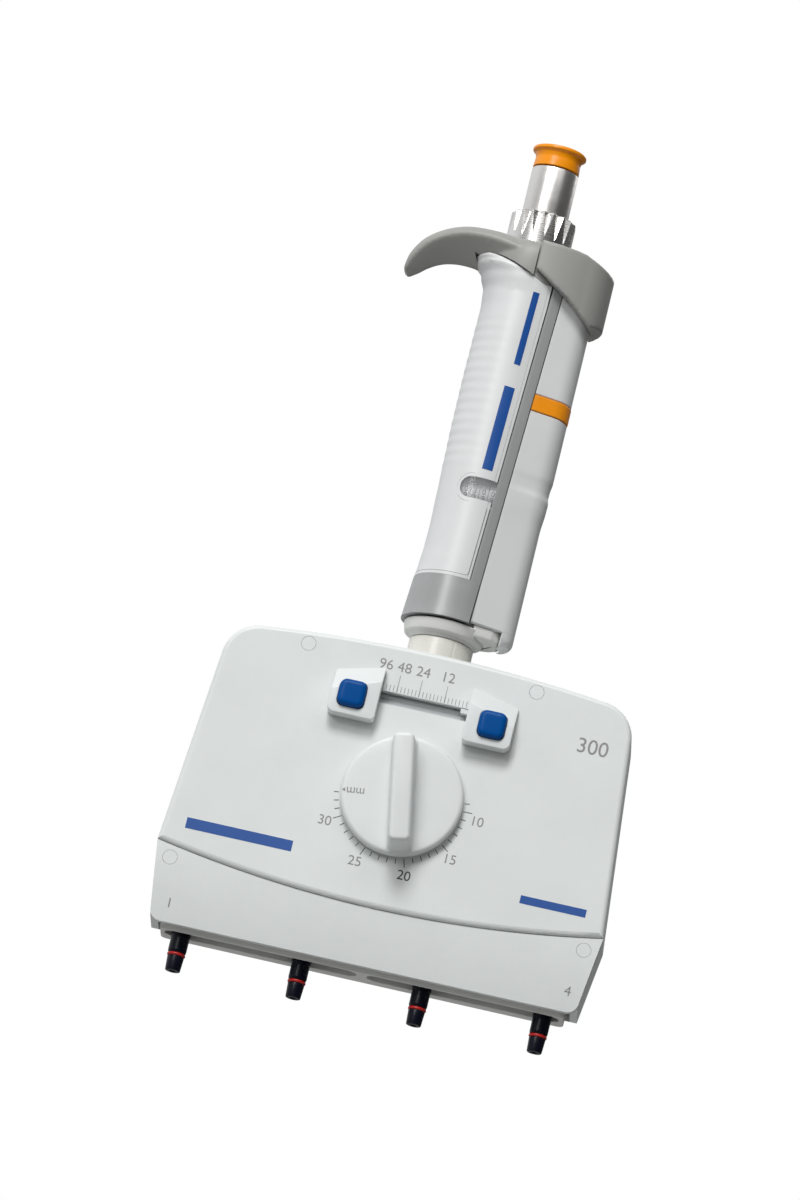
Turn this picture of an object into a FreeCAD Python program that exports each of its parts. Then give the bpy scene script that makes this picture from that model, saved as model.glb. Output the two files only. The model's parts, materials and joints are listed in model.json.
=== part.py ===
import FreeCAD, Part
import math
import os

# Four-channel pipette with adjustable tip spacing.
# Millimetres. +Z runs up the handle, +X along the row of tip cones, the dial faces -Y.
# The origin is the centre of the row of tip-cone ends.

V = FreeCAD.Vector

# Channels and spacing
CHANNELS = 4
SPAN_WIDE = 33.0              # spacing of the cones as set
CONE_Y = 0.0

# Tip cone
CONE_END_R = 2.03
CONE_BORE_R = 0.9
LAND_R = 2.5                  # straight land that a tip is pressed on
LAND_Z = (5.4, 9.2)
SEAL_Z = 4.5
SEAL_OUTER_R = 2.48
SEAL_THICK = 0.9
CONE_TOP_Z = 17.0
SHANK_R = 2.3
SHANK_TOP_Z = 27.0

# Lower housing
FRONT_Y = -11.0
REAR_Y = 11.0
WALL = 2.0
PARTING_Y = -3.0
BASE_Z = 12.5
BASE_HALF = 58.4
CHIN_Z = 10.8
SEAM_HALF = 61.0
SEAM_Z = 32.3
SEAM_MIDDLE_Z = 26.5
CHIN_STEP = 1.0               # the front cover stands this far proud of the chin cover
CHIN_BASE_Y = -8.2
CHIN_THICK = 1.8
TOP_HALF = 55.4
TOP_CORNER_Z = 94.9
TOP_MIDDLE_Z = 98.6
CORNER_R = 10.0
EDGE_R = 1.3
REAR_EDGE_R = 2.6
PLUG_R = 2.0                  # round plugs over the cover screws, their x and z
PLUGS_HIGH = ((-34.0, 93.6), (28.5, 94.2))
PLUGS_LOW = ((-56.6, 28.0), (56.6, 28.0))
SOCKET_R = 1.1                # corner radius of a screw's hexagon socket
HOUSING_SCREWS = ((-51.0, 84.0), (51.0, 84.0), (-56.2, 50.0), (56.2, 50.0))

# Scale slot and its two stops
SLOT_Z = (82.0, 85.5)
SLOT_HALF = 24.6
STOP_INNER_X = 12.0
STOP_WIDE = 13.0
STOP_TALL = 12.6
STOP_PROUD = 4.6
STOP_BASE_Z = 75.6
STOP_GAP = 0.2
BUTTON_SIDE = 7.3
BUTTON_PROUD = 1.7
BUTTON_TALL = 3.2              # the button front to back
BUTTON_WELL = 3.4              # depth of the well behind it
BUTTON_X = 7.2                 # from the stop's inner side to the button's middle
BUTTON_Z = 81.4

# Dial and its stepped pinion
DIAL_Z = 57.6
DIAL_R = 16.5
DIAL_THICK = 3.0
DIAL_GAP = 0.3
DISC_EDGE_R = 0.8
GRIP_HALF = 15.4
GRIP_WIDE = 6.0
GRIP_HIGH = 9.6
GRIP_TURN = 7.5               # the grip bar leans this far to the left of upright, degrees
SHAFT_R = 3.0
FIT = 0.05                    # radial clearance of a running fit
RACK_PITCH = 2.0
PRESSURE = math.radians(25.0)
ADDENDUM = 0.8                # in modules
DEDENDUM = 1.1                # in modules
BACKLASH = 0.12
GEAR_OUTER, GEAR_CURSOR, GEAR_INNER = 36, 24, 12
LAYER_CURSOR = (-8.0, -6.9)
LAYER_OUTER = (-6.6, -4.6)
LAYER_INNER = (-4.3, -2.3)
LAYER_ARM = (-2.0, -0.4)

# Carriages
CARRIAGE_HALF = 4.2
CARRIAGE_Y = (-6.0, 6.6)
CARRIAGE_Z = (17.0, 36.0)
ROD_R = 1.5
RODS = ((-4.1, 21.5), (4.1, 31.0))     # y and z of the two guide rods
HOSE_Y = 5.0
HOSE_R = 1.0
SEAL_R = 3.8                  # outer radius of a cylinder's seal
SEAL_TALL = 0.6

# Cylinders and pistons
CYL_X = [-13.5, -4.5, 4.5, 13.5]
CYL_R = 3.9
CYL_BORE_R = 3.15
PISTON_R = 3.05
CYL_Z = (48.0, 67.2)
PLATE_Z = (80.6, 83.0)

# Neck and ejector, lower half
NECK_R = (5.85, 7.0)
SLEEVE_R = (7.25, 8.75)
SLEEVE_Z = (92.0, 104.0)
BAR_Z = (10.0, 14.2)
BAR_Y = (-5.4, 7.0)
BAR_HALF = 55.2
BAR_FRONT_SLOPE = (1.5, 2.2)  # depth and height of the bar's sloped lower front edge
BAR_REAR_SLOPE = (1.4, 1.4)
SLOT_WIDE = 6.0
SLOT_X = (1.4, 53.9)
EJECT = 4.5

# Handle
HANDLE_R = 11.0
COLLAR_R = 12.4
COLLAR_Z = (109.0, 120.5)
FRAME_R = 9.2
SHELL_R = 10.2
HANDLE_TOP = 206.0
RAIL_X = 12.6
RAIL_R = 6.5
RAIL_WALL = 1.2
RAIL_Z = (108.4, 205.0)
EDGE_LOW = (111.0, 6.6)       # z and x of the line between frame and rail, low end
EDGE_HIGH = (206.0, 10.3)     # and high end
STRIP = 2.8                   # width of the silver strip beside the rail
BAND_Z = (171.3, 175.7)
WINDOW_X = 0.8
WINDOW_Z = 146.0
WINDOW_WIDE = 10.7
WINDOW_TALL = 6.0
POST_X = 13.4                 # guide post of the ejector spring

# Counter
WHEELS = 4
WHEEL_R = 2.9
WHEEL_STEP = 2.45
WHEEL_WIDE = 2.3
WHEEL_Y = -5.2
AXLE_R = 0.6

# Top
HOOK_Z = (206.0, 217.0)
HOOK_BORE_R = 9.2
RING_R = 8.9
RING_Z = (216.3, 226.5)
RING_FLUTES = 18
SCREW_R = (6.5, 7.5)
NUT_R = 9.0
NUT_Z = (195.5, 199.5)
STEEL_R = 6.35
CAP_R = 6.4
CAP_FLANGE_R = 7.35
CAP_Z = (240.0, 246.0)
ROD_PLUNGER_R = 2.0


def save(name, shape):
    """Write one piece, and say what it is."""
    shape = shape.removeSplitter()
    solids = shape.Solids
    assert solids and shape.isValid(), name
    shape = solids[0] if len(solids) == 1 else Part.makeCompound(solids)
    shape.exportStep(f"parts/{name}.step")
    print(f"{name:20s} solids {len(solids)} volume {shape.Volume:9.1f}")
    return shape


def box(x0, x1, y0, y1, z0, z1):
    return Part.makeBox(x1 - x0, y1 - y0, z1 - z0, V(x0, y0, z0))


def rod_z(r, z0, z1, x=0.0, y=0.0):
    return Part.makeCylinder(r, z1 - z0, V(x, y, z0), V(0, 0, 1))


def rod_y(r, y0, y1, x, z):
    return Part.makeCylinder(r, y1 - y0, V(x, y0, z), V(0, 1, 0))


def rod_x(r, x0, x1, y, z):
    return Part.makeCylinder(r, x1 - x0, V(x0, y, z), V(1, 0, 0))


def tube_z(r0, r1, z0, z1, x=0.0, y=0.0):
    return rod_z(r1, z0, z1, x, y).cut(rod_z(r0, z0 - 1, z1 + 1, x, y))


def fuse(*shapes):
    return shapes[0].fuse(list(shapes[1:]))


def prism_xz(points, y0, y1):
    """A straight-sided outline in X and Z, extruded from y0 to y1."""
    wire = Part.makePolygon([V(x, y0, z) for x, z in points + points[:1]])
    return Part.Face(wire).extrude(V(0, y1 - y0, 0))


def prism_yz(points, half):
    """A straight-sided outline in Y and Z, extruded from -half to half along X."""
    wire = Part.makePolygon([V(-half, y, z) for y, z in points + points[:1]])
    return Part.Face(wire).extrude(V(2 * half, 0, 0))


def prism_xy(points, z0, z1):
    wire = Part.makePolygon([V(x, y, z0) for x, y in points + points[:1]])
    return Part.Face(wire).extrude(V(0, 0, z1 - z0))


def turned(points, x=0.0, y=0.0):
    """A profile of (radius, z) points turned round the upright axis at x, y."""
    wire = Part.makePolygon([V(x + r, y, z) for r, z in points + points[:1]])
    return Part.Face(wire).revolve(V(x, y, 0), V(0, 0, 1), 360)


def edges_along(shape, axis, test=lambda p: True):
    """Straight edges of a shape that run along an axis and pass a test on their middle."""
    found = []
    for edge in shape.Edges:
        if len(edge.Vertexes) < 2:
            continue
        run = edge.Vertexes[1].Point - edge.Vertexes[0].Point
        if run.Length < 1e-6:
            continue
        if abs(abs((run / run.Length).dot(axis)) - 1) < 1e-6 and test(edge.CenterOfMass):
            found.append(edge)
    return found


def coil(r, wire_r, z0, z1, turns, x=0.0, y=0.0):
    """A helical spring between two heights."""
    path = Part.makeHelix((z1 - z0 - 2 * wire_r) / turns, z1 - z0 - 2 * wire_r, r)
    path.translate(V(x, y, z0 + wire_r))
    section = Part.Wire(Part.makeCircle(wire_r, V(x + r, y, z0 + wire_r), V(0, 1, 0)))
    return Part.Wire(path).makePipeShell([section], True, True)


# ---- housing outline ----

def housing_wire(y):
    """The housing seen from the front, with an arched top and tapered sides."""
    left, right = V(-SEAM_HALF, y, SEAM_Z), V(SEAM_HALF, y, SEAM_Z)
    base_l, base_r = V(-BASE_HALF, y, BASE_Z), V(BASE_HALF, y, BASE_Z)
    top_l, top_r = V(-TOP_HALF, y, TOP_CORNER_Z), V(TOP_HALF, y, TOP_CORNER_Z)
    arch = Part.Arc(top_r, V(0, y, TOP_MIDDLE_Z), top_l).toShape()
    lines = [(base_l, base_r), (base_r, right), (right, top_r)]
    edges = [Part.LineSegment(a, b).toShape() for a, b in lines]
    edges += [arch, Part.LineSegment(top_l, left).toShape(), Part.LineSegment(left, base_l).toShape()]
    return Part.Wire(edges)


def housing_block(y0, y1, inset=0.0):
    """The housing as a block from y0 to y1, its walls moved in by inset."""
    block = Part.Face(housing_wire(y0)).extrude(V(0, y1 - y0, 0))
    corners = edges_along(block, V(0, 1, 0), lambda p: p.z > TOP_CORNER_Z - 1)
    block = block.makeFillet(CORNER_R, corners)
    if inset:
        face = [f for f in block.Faces if abs(f.CenterOfMass.y - y0) < 1e-6][0]
        wire = face.OuterWire.makeOffset2D(-inset)
        block = Part.Face(wire).extrude(V(0, y1 - y0, 0))
    return block


def below_seam(y0, y1, drop):
    """Everything below the curved seam between front cover and chin cover."""
    reach = SEAM_HALF + 20
    radius = (SEAM_HALF ** 2 + (SEAM_Z - SEAM_MIDDLE_Z) ** 2) / (2 * (SEAM_Z - SEAM_MIDDLE_Z))
    side_z = SEAM_MIDDLE_Z + radius - math.sqrt(radius ** 2 - reach ** 2)
    arc = Part.Arc(
        V(-reach, y0, side_z - drop), V(0, y0, SEAM_MIDDLE_Z - drop), V(reach, y0, side_z - drop)
    ).toShape()
    low_l, low_r = V(-reach, y0, 0), V(reach, y0, 0)
    edges = [
        arc,
        Part.LineSegment(V(reach, y0, side_z - drop), low_r).toShape(),
        Part.LineSegment(low_r, low_l).toShape(),
        Part.LineSegment(low_l, V(-reach, y0, side_z - drop)).toShape(),
    ]
    return Part.Face(Part.Wire(edges)).extrude(V(0, y1 - y0, 0))


def soften(shape, r, pick):
    """Round the edges that pick chooses, or leave the shape as it is where it can't be rounded."""
    edges = [e for e in shape.Edges if pick(e)]
    try:
        rounded = shape.makeFillet(r, edges)
        return rounded if rounded.isValid() and len(rounded.Solids) == 1 else shape
    except Part.OCCError:
        return shape


def flat_at(edge, y):
    return all(abs(v.Point.y - y) < 1e-4 for v in edge.Vertexes) and abs(edge.CenterOfMass.y - y) < 1e-4


def front_cover():
    outer = housing_block(FRONT_Y, PARTING_Y)
    outer = outer.cut(below_seam(FRONT_Y - 1, PARTING_Y + 1, 0.0))
    outer = soften(outer, EDGE_R, lambda e: flat_at(e, FRONT_Y))
    inner = housing_block(FRONT_Y + WALL, PARTING_Y + 1, WALL)
    cover = outer.cut(inner)
    cover = cover.cut(rod_y(SHAFT_R + FIT, FRONT_Y - 1, FRONT_Y + WALL + 1, 0, DIAL_Z))
    slot = box(-SLOT_HALF, SLOT_HALF, FRONT_Y - 1, FRONT_Y + WALL + 1, *SLOT_Z)
    cover = cover.cut(slot)
    cover = cover.cut(rod_z(SLEEVE_R[1] + 0.35, 90, 100))
    for x, z in PLUGS_HIGH:
        cover = cover.cut(rod_y(PLUG_R, FRONT_Y - 1, FRONT_Y + 1.0, x, z))
    return cover


def chin_section(inset):
    """Side view of the chin cover's outer face as a curve that bends back towards its foot."""
    top_y = FRONT_Y + CHIN_STEP
    middle_z = 0.5 * (SEAM_Z + 4 + CHIN_Z)
    reach = SEAM_HALF + 5
    a = V(-reach, top_y + inset, SEAM_Z + 4)
    b = V(-reach, top_y + 0.25 + inset, middle_z)
    c = V(-reach, CHIN_BASE_Y + inset, CHIN_Z)
    back_y = PARTING_Y + 3
    edges = [
        Part.Arc(a, b, c).toShape(),
        Part.LineSegment(c, V(-reach, back_y, CHIN_Z)).toShape(),
        Part.LineSegment(V(-reach, back_y, CHIN_Z), V(-reach, back_y, SEAM_Z + 4)).toShape(),
        Part.LineSegment(V(-reach, back_y, SEAM_Z + 4), a).toShape(),
    ]
    return Part.Face(Part.Wire(edges)).extrude(V(2 * reach, 0, 0))


def chin_cover():
    outline = [
        (-BASE_HALF + 0.25, CHIN_Z), (BASE_HALF - 0.25, CHIN_Z),
        (SEAM_HALF, SEAM_Z), (SEAM_HALF, SEAM_Z + 3), (-SEAM_HALF, SEAM_Z + 3), (-SEAM_HALF, SEAM_Z),
    ]
    plan = prism_xz(outline, FRONT_Y, 0)
    plan = plan.makeFillet(3.0, edges_along(plan, V(0, 1, 0), lambda p: p.z < CHIN_Z + 1))
    plan = plan.common(below_seam(FRONT_Y, 0, 0.15))
    shell = chin_section(0.0).cut(chin_section(CHIN_THICK))
    chin = shell.common(plan)
    for x, z in PLUGS_LOW:
        chin = chin.cut(rod_y(PLUG_R, FRONT_Y - 1, FRONT_Y + 2.0, x, z))
    return chin


def rear_casing(front, chin):
    outer = housing_block(PARTING_Y, REAR_Y)
    forward = housing_block(FRONT_Y + 1, PARTING_Y).common(below_seam(FRONT_Y, PARTING_Y, 0.3))
    outer = soften(outer, REAR_EDGE_R, lambda e: flat_at(e, REAR_Y))
    outer = outer.fuse(forward)
    inner = housing_block(FRONT_Y - 1, REAR_Y - WALL, WALL)
    floor = box(-BASE_HALF + WALL, BASE_HALF - WALL, -8.0, REAR_Y - WALL, BASE_Z - 1, BASE_Z + 4)
    casing = outer.cut(inner).cut(floor)
    casing = casing.cut(chin_section(0.0).cut(chin_section(CHIN_THICK + 0.02)))
    front_of_chin = box(-70, 70, FRONT_Y - 1, CHIN_BASE_Y + CHIN_THICK, 0, SEAM_Z + 4)
    casing = casing.cut(front_of_chin).cut(front).cut(chin)
    casing = casing.cut(rod_z(SLEEVE_R[1] + 0.35, 90, 100))
    for x, z in HOUSING_SCREWS:
        boss = rod_y(3.0, PARTING_Y, REAR_Y - WALL + 0.5, x, z)
        casing = casing.fuse(boss).cut(rod_y(2.6, REAR_Y - 3.0, REAR_Y + 1, x, z))
        casing = casing.cut(rod_y(1.2, PARTING_Y - 1, REAR_Y, x, z))
    return casing


def cover_plugs(chin):
    """Four flush plugs over the cover screws."""
    high = [rod_y(PLUG_R - 0.08, FRONT_Y, FRONT_Y + 1.0, x, z) for x, z in PLUGS_HIGH]
    face = chin_section(0.0).cut(chin_section(0.9))
    low = [rod_y(PLUG_R - 0.08, FRONT_Y, FRONT_Y + 2.0, x, z).common(face) for x, z in PLUGS_LOW]
    return Part.makeCompound([s for plug in high + low for s in plug.Solids])


def housing_screws():
    screws = []
    for x, z in HOUSING_SCREWS:
        head = rod_y(2.3, REAR_Y - 3.0, REAR_Y - 1.0, x, z)
        shank = rod_y(1.15, PARTING_Y + 0.5, REAR_Y - 2.5, x, z)
        sixths = [a * math.pi / 3 for a in range(6)]
        socket = [(x + SOCKET_R * math.cos(a), z + SOCKET_R * math.sin(a)) for a in sixths]
        screws.append(head.fuse(shank).cut(prism_xz(socket, REAR_Y - 2.2, REAR_Y)))
    return Part.makeCompound(screws)


# ---- gears and racks ----

def module():
    return RACK_PITCH / math.pi


def gear(teeth, y0, y1):
    """A spur gear round the dial's axis, with involute flanks and one tooth pointing down."""
    m = module()
    pitch_r = m * teeth / 2
    base_r = pitch_r * math.cos(PRESSURE)
    tip_r = pitch_r + ADDENDUM * m
    root_r = pitch_r - DEDENDUM * m
    half = (RACK_PITCH / 2 - BACKLASH) / (2 * pitch_r)
    roll = math.tan(PRESSURE) - PRESSURE

    def flank(r):
        if r <= base_r:
            return half + roll
        a = math.acos(base_r / r)
        return half + roll - (math.tan(a) - a)

    start = max(root_r, base_r)
    radii = [start + (tip_r - start) * k / 4 for k in range(5)]
    points = []
    for tooth in range(teeth):
        middle = -math.pi / 2 + 2 * math.pi * tooth / teeth
        low = [(root_r, -flank(root_r))] if root_r < base_r else []
        side = low + [(r, -flank(r)) for r in radii]
        for r, a in side + [(r, -a) for r, a in reversed(side)]:
            points.append((r * math.cos(middle + a), DIAL_Z + r * math.sin(middle + a)))
    return prism_xz(points, y0, y1)


def rack_line(teeth, side):
    """Height of a rack's pitch line above (side 1) or below (side -1) the dial's axis."""
    return DIAL_Z + side * module() * teeth / 2


def rack(x0, x1, teeth, side, body, y0, y1):
    """A rack from x0 to x1 beside a gear; its teeth face the gear, body is the bar's height."""
    m = module()
    pitch_z = rack_line(teeth, side)
    half = (RACK_PITCH / 2 - BACKLASH) / 2
    tip_half = half - ADDENDUM * m * math.tan(PRESSURE)
    root_half = half + DEDENDUM * m * math.tan(PRESSURE)
    tip_z = pitch_z - side * ADDENDUM * m
    root_z = pitch_z + side * DEDENDUM * m
    points = [(x0, root_z)]
    k = math.ceil((x0 + root_half - 1) / RACK_PITCH)
    while k * RACK_PITCH + 1 + root_half <= x1:
        x = k * RACK_PITCH + 1
        points += [(x - root_half, root_z), (x - tip_half, tip_z)]
        points += [(x + tip_half, tip_z), (x + root_half, root_z)]
        k += 1
    points += [(x1, root_z), (x1, root_z + side * body), (x0, root_z + side * body)]
    return prism_xz(points, y0, y1)


# ---- channels ----

def cone_x(i):
    return (i - (CHANNELS - 1) / 2) * SPAN_WIDE


def tip_cone(x):
    groove_r = SEAL_OUTER_R - SEAL_THICK + 0.05
    low, high = SEAL_Z - SEAL_THICK / 2 - 0.05, SEAL_Z + SEAL_THICK / 2 + 0.05
    end_r = CONE_END_R + 0.3
    profile = [
        (CONE_BORE_R, 0), (CONE_END_R - 0.25, 0), (CONE_END_R, 0.3), (end_r, low), (groove_r, low),
        (groove_r, high), (end_r + 0.03, high), (LAND_R, LAND_Z[0]), (LAND_R, LAND_Z[1]), (2.6, 9.6),
        (2.7, CONE_TOP_Z), (SHANK_R, CONE_TOP_Z), (SHANK_R, SHANK_TOP_Z), (CONE_BORE_R, SHANK_TOP_Z),
    ]
    return turned(profile, x, CONE_Y)


def cone_seal(x):
    """The red ring in the cone's groove, a ring of nearly square section with round shoulders."""
    inner = SEAL_OUTER_R - SEAL_THICK + 0.05
    ring = tube_z(inner, SEAL_OUTER_R, SEAL_Z - SEAL_THICK / 2, SEAL_Z + SEAL_THICK / 2, x, CONE_Y)
    return ring.makeFillet(0.3, [e for e in ring.Edges if len(e.Vertexes) == 1 and e.Curve.Radius > 2.4])


def carriage(i):
    """Slider that carries one cone, with the arm and rack that its gear drives."""
    x = cone_x(i)
    outer = i in (0, CHANNELS - 1)
    left = i < CHANNELS / 2
    teeth = GEAR_OUTER if outer else GEAR_INNER
    layer = LAYER_OUTER if outer else LAYER_INNER
    side = -1 if left else 1
    m = module()
    block = box(x - CARRIAGE_HALF, x + CARRIAGE_HALF, *CARRIAGE_Y, *CARRIAGE_Z)
    block = block.makeFillet(0.8, edges_along(block, V(0, 0, 1)))
    block = block.cut(rod_z(SHANK_R, CARRIAGE_Z[0] - 1, SHANK_TOP_Z, x, CONE_Y))
    for y, z in RODS:
        block = block.cut(rod_x(ROD_R + FIT, x - 10, x + 10, y, z))
    barb = rod_z(1.5, CARRIAGE_Z[1], CARRIAGE_Z[1] + 0.8, x, HOSE_Y)
    body = 3.4
    root_z = rack_line(teeth, side) + side * DEDENDUM * m
    far_z = root_z + side * body
    if left:
        arm = box(x - 3, x + 3, *layer, CARRIAGE_Z[1] - 3, root_z)
        strip = rack(x - 3, 3.0, teeth, side, body, *layer)
        return fuse(block, barb, arm, strip)
    near, far = (x - 3, x + 3) if outer else (x, x + 3)
    arm = box(near, far, *LAYER_ARM, CARRIAGE_Z[1] - 3, far_z)
    bridge = box(near, far, layer[0], LAYER_ARM[1], root_z, far_z)
    strip = rack(-3.0, far, teeth, side, body, *layer)
    return fuse(block, barb, arm, bridge, strip)


# ---- drive ----

def dial_pinion():
    gears = [
        gear(GEAR_CURSOR, *LAYER_CURSOR),
        gear(GEAR_OUTER, *LAYER_OUTER),
        gear(GEAR_INNER, *LAYER_INNER),
    ]
    shaft = rod_y(SHAFT_R, FRONT_Y - 6.0, -0.3, 0, DIAL_Z)
    journal = rod_y(2.0, -0.3, 1.6, 0, DIAL_Z)
    pinion = fuse(shaft, journal, *gears)
    return pinion.cut(rod_y(0.9, FRONT_Y - 7, -4, 0, DIAL_Z))


def dial_knob():
    back = FRONT_Y - DIAL_GAP
    face = back - DIAL_THICK
    disc = rod_y(DIAL_R, face, back, 0, DIAL_Z)
    rim = [e for e in disc.Edges if len(e.Vertexes) == 1 and e.CenterOfMass.y < face + 0.1]
    disc = disc.makeFillet(DISC_EDGE_R, rim)
    z0, z1 = DIAL_Z - GRIP_HALF, DIAL_Z + GRIP_HALF
    bar = box(-GRIP_WIDE / 2, GRIP_WIDE / 2, face - GRIP_HIGH, back - 1, z0, z1)
    bar = bar.makeFillet(2.6, edges_along(bar, V(0, 1, 0)))
    bar = soften(bar, 0.9, lambda e: flat_at(e, face - GRIP_HIGH))
    bar.rotate(V(0, 0, DIAL_Z), V(0, -1, 0), GRIP_TURN)
    knob = disc.fuse(bar)
    knob = knob.cut(rod_y(SHAFT_R, FRONT_Y - 6.0, back + 1, 0, DIAL_Z))
    return knob.cut(rod_y(1.0, face - GRIP_HIGH + 2.6, FRONT_Y, 0, DIAL_Z))


def dial_screw():
    """Screw that holds the knob on the pinion's shaft, under a recess in the grip bar."""
    y_head = FRONT_Y - 6.0
    return rod_y(0.9, y_head - 2.4, y_head + 8, 0, DIAL_Z)


def span_cursor():
    """Rack and pointer that runs along the slot and shows the spacing."""
    body = 2.4
    root_z = rack_line(GEAR_CURSOR, 1) + DEDENDUM * module()
    strip = rack(-3.0, 29.0, GEAR_CURSOR, 1, body, *LAYER_CURSOR)
    x0, x1 = STOP_INNER_X - 2.2, STOP_INNER_X - 0.2
    arm = box(x0, x1, *LAYER_CURSOR, root_z, SLOT_Z[1] - 0.25)
    tab = box(x0, x1, FRONT_Y - 0.08, LAYER_CURSOR[0], SLOT_Z[1] - 1.5, SLOT_Z[1] - 0.25)
    return fuse(strip, arm, tab)


# ---- stops ----

def stop_slider(side):
    """Travel stop on the slot: a sail-shaped block with a neck and a plate behind the panel."""
    inner, outer = side * STOP_INNER_X, side * (STOP_INNER_X + STOP_WIDE)
    back, face = FRONT_Y - STOP_GAP, FRONT_Y - STOP_PROUD
    top = STOP_BASE_Z + STOP_TALL
    outline = [(inner, STOP_BASE_Z), (outer, STOP_BASE_Z), (outer, top - 3.4)]
    outline += [(inner + side * 3.0, top), (inner, top)]
    block = prism_xz(outline, face, back)
    corners = edges_along(block, V(0, 1, 0))
    block = block.makeFillet(1.2, corners)
    foot = V(-40, face - 1, top - 4.6)
    ramp = Part.makePolygon([foot, V(-40, back - 0.9, top + 0.6), V(-40, face - 1, top + 0.6), foot])
    block = block.cut(Part.Face(ramp).extrude(V(80, 0, 0)))
    middle = side * (STOP_INNER_X + BUTTON_X)
    well = BUTTON_SIDE / 2 + 0.1
    floor = face + BUTTON_WELL
    block = block.cut(box(middle - well, middle + well, face - 1, floor, BUTTON_Z - well, BUTTON_Z + well))
    x0, x1 = sorted((inner + side * 1.0, outer - side * 1.0))
    neck = box(x0, x1, back, FRONT_Y + WALL, SLOT_Z[0] + 0.1, SLOT_Z[0] + 1.7)
    plate = box(x0, x1, FRONT_Y + WALL + 0.02, FRONT_Y + WALL + 0.8, SLOT_Z[0] - 2.5, SLOT_Z[0] + 1.7)
    bond = box(x0, x1, FRONT_Y + WALL, FRONT_Y + WALL + 0.02, SLOT_Z[0] + 0.1, SLOT_Z[0] + 1.7)
    return fuse(block, neck, bond, plate)


def lock_button(side):
    middle = side * (STOP_INNER_X + BUTTON_X)
    face = FRONT_Y - STOP_PROUD - BUTTON_PROUD
    half = BUTTON_SIDE / 2
    button = box(middle - half, middle + half, face, face + BUTTON_TALL, BUTTON_Z - half, BUTTON_Z + half)
    button = button.makeFillet(1.7, edges_along(button, V(0, 1, 0)))
    return soften(button, 0.7, lambda e: flat_at(e, face))


def button_spring(side):
    """Small coil between the button and the floor of its well."""
    middle = side * (STOP_INNER_X + BUTTON_X)
    back = FRONT_Y - STOP_PROUD + BUTTON_WELL
    front = FRONT_Y - STOP_PROUD - BUTTON_PROUD + BUTTON_TALL
    spring = coil(1.8, 0.25, 0, back - front, 1.5)
    spring.rotate(V(0, 0, 0), V(1, 0, 0), -90)
    spring.translate(V(middle, front, BUTTON_Z))
    return spring


# ---- lower mechanics ----

def chassis_plate():
    """Upright plate that carries the pinion's journal, the cylinders and the guide rods."""
    y0, y1 = 0.0, 1.6
    half = 55.6
    plate = box(-half, half, y0, y1, 40.0, 66.5)
    plate = plate.makeFillet(2.0, edges_along(plate, V(0, 1, 0)))
    plate = plate.cut(rod_y(2.0 + FIT, y0 - 1, y1 + 1, 0, DIAL_Z))
    shelf = box(-19, 19, y1, REAR_Y - WALL - 0.3, CYL_Z[0] - 2.0, CYL_Z[0])
    for x in CYL_X:
        shelf = shelf.cut(rod_z(1.6, CYL_Z[0] - 3, CYL_Z[0] + 1, x, HOSE_Y))
    legs = []
    for side in (-1, 1):
        x0, x1 = sorted((side * 54.2, side * 56.0))
        leg = box(x0, x1, -6.2, 6.2, 16.0, 44.0)
        for y, z in RODS:
            leg = leg.cut(rod_x(ROD_R, -60, 60, y, z))
        legs.append(leg)
    chassis = fuse(plate, shelf, *legs)
    for x, z in HOUSING_SCREWS:
        chassis = chassis.cut(rod_y(3.0, -10, 10, x, z))
    for x in CYL_X:
        chassis = chassis.cut(rod_z(CYL_R, *CYL_Z, x, HOSE_Y))
    return chassis


def guide_rods():
    return Part.makeCompound([rod_x(ROD_R, -56.0, 56.0, y, z) for y, z in RODS])


def cylinders():
    made = []
    for x in CYL_X:
        barrel = rod_z(CYL_R, *CYL_Z, x, HOSE_Y).cut(rod_z(CYL_BORE_R, CYL_Z[0] + 1.2, 80, x, HOSE_Y))
        nozzle = rod_z(1.5, CYL_Z[0] - 3.0, CYL_Z[0] + 0.2, x, HOSE_Y)
        made.append(barrel.fuse(nozzle).cut(rod_z(0.6, 40, 60, x, HOSE_Y)))
    return Part.makeCompound(made)


def cylinder_seals():
    """Wiper seals on top of the cylinders."""
    z0, z1 = CYL_Z[1], CYL_Z[1] + SEAL_TALL
    return Part.makeCompound([tube_z(PISTON_R + 0.03, SEAL_R, z0, z1, x, HOSE_Y) for x in CYL_X])


def hose_path(start, end, run_z):
    """Down from start, across at run_z and down to end, its corners rounded as wide as they fit."""
    side = 1 if end.x > start.x else -1
    r = min(start.z - run_z, run_z - end.z)
    c = r * math.sqrt(0.5)
    a = V(start.x, start.y, run_z + r)
    b = V(start.x + side * r, start.y, run_z)
    ab = V(start.x + side * (r - c), start.y, run_z + r - c)
    d = V(end.x - side * r, start.y, run_z)
    e = V(end.x, start.y, run_z - r)
    de = V(end.x - side * (r - c), start.y, run_z - r + c)
    edges = []
    if (start - a).Length > 1e-6:
        edges.append(Part.LineSegment(start, a).toShape())
    edges += [Part.Arc(a, ab, b).toShape(), Part.LineSegment(b, d).toShape(), Part.Arc(d, de, e).toShape()]
    if (e - end).Length > 1e-6:
        edges.append(Part.LineSegment(e, end).toShape())
    return Part.Wire(edges)


def air_hoses():
    made = []
    for i, x in enumerate(CYL_X):
        start = V(x, HOSE_Y, CYL_Z[0] - 3.0)
        end = V(cone_x(i), HOSE_Y, CARRIAGE_Z[1] + 0.8)
        run_z = 42.0 if i in (0, CHANNELS - 1) else 39.3
        path = hose_path(start, end, run_z)
        section = Part.Wire(Part.makeCircle(HOSE_R, start, V(0, 0, 1)))
        made.append(path.makePipeShell([section], True, False))
    return Part.makeCompound(made)


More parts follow.
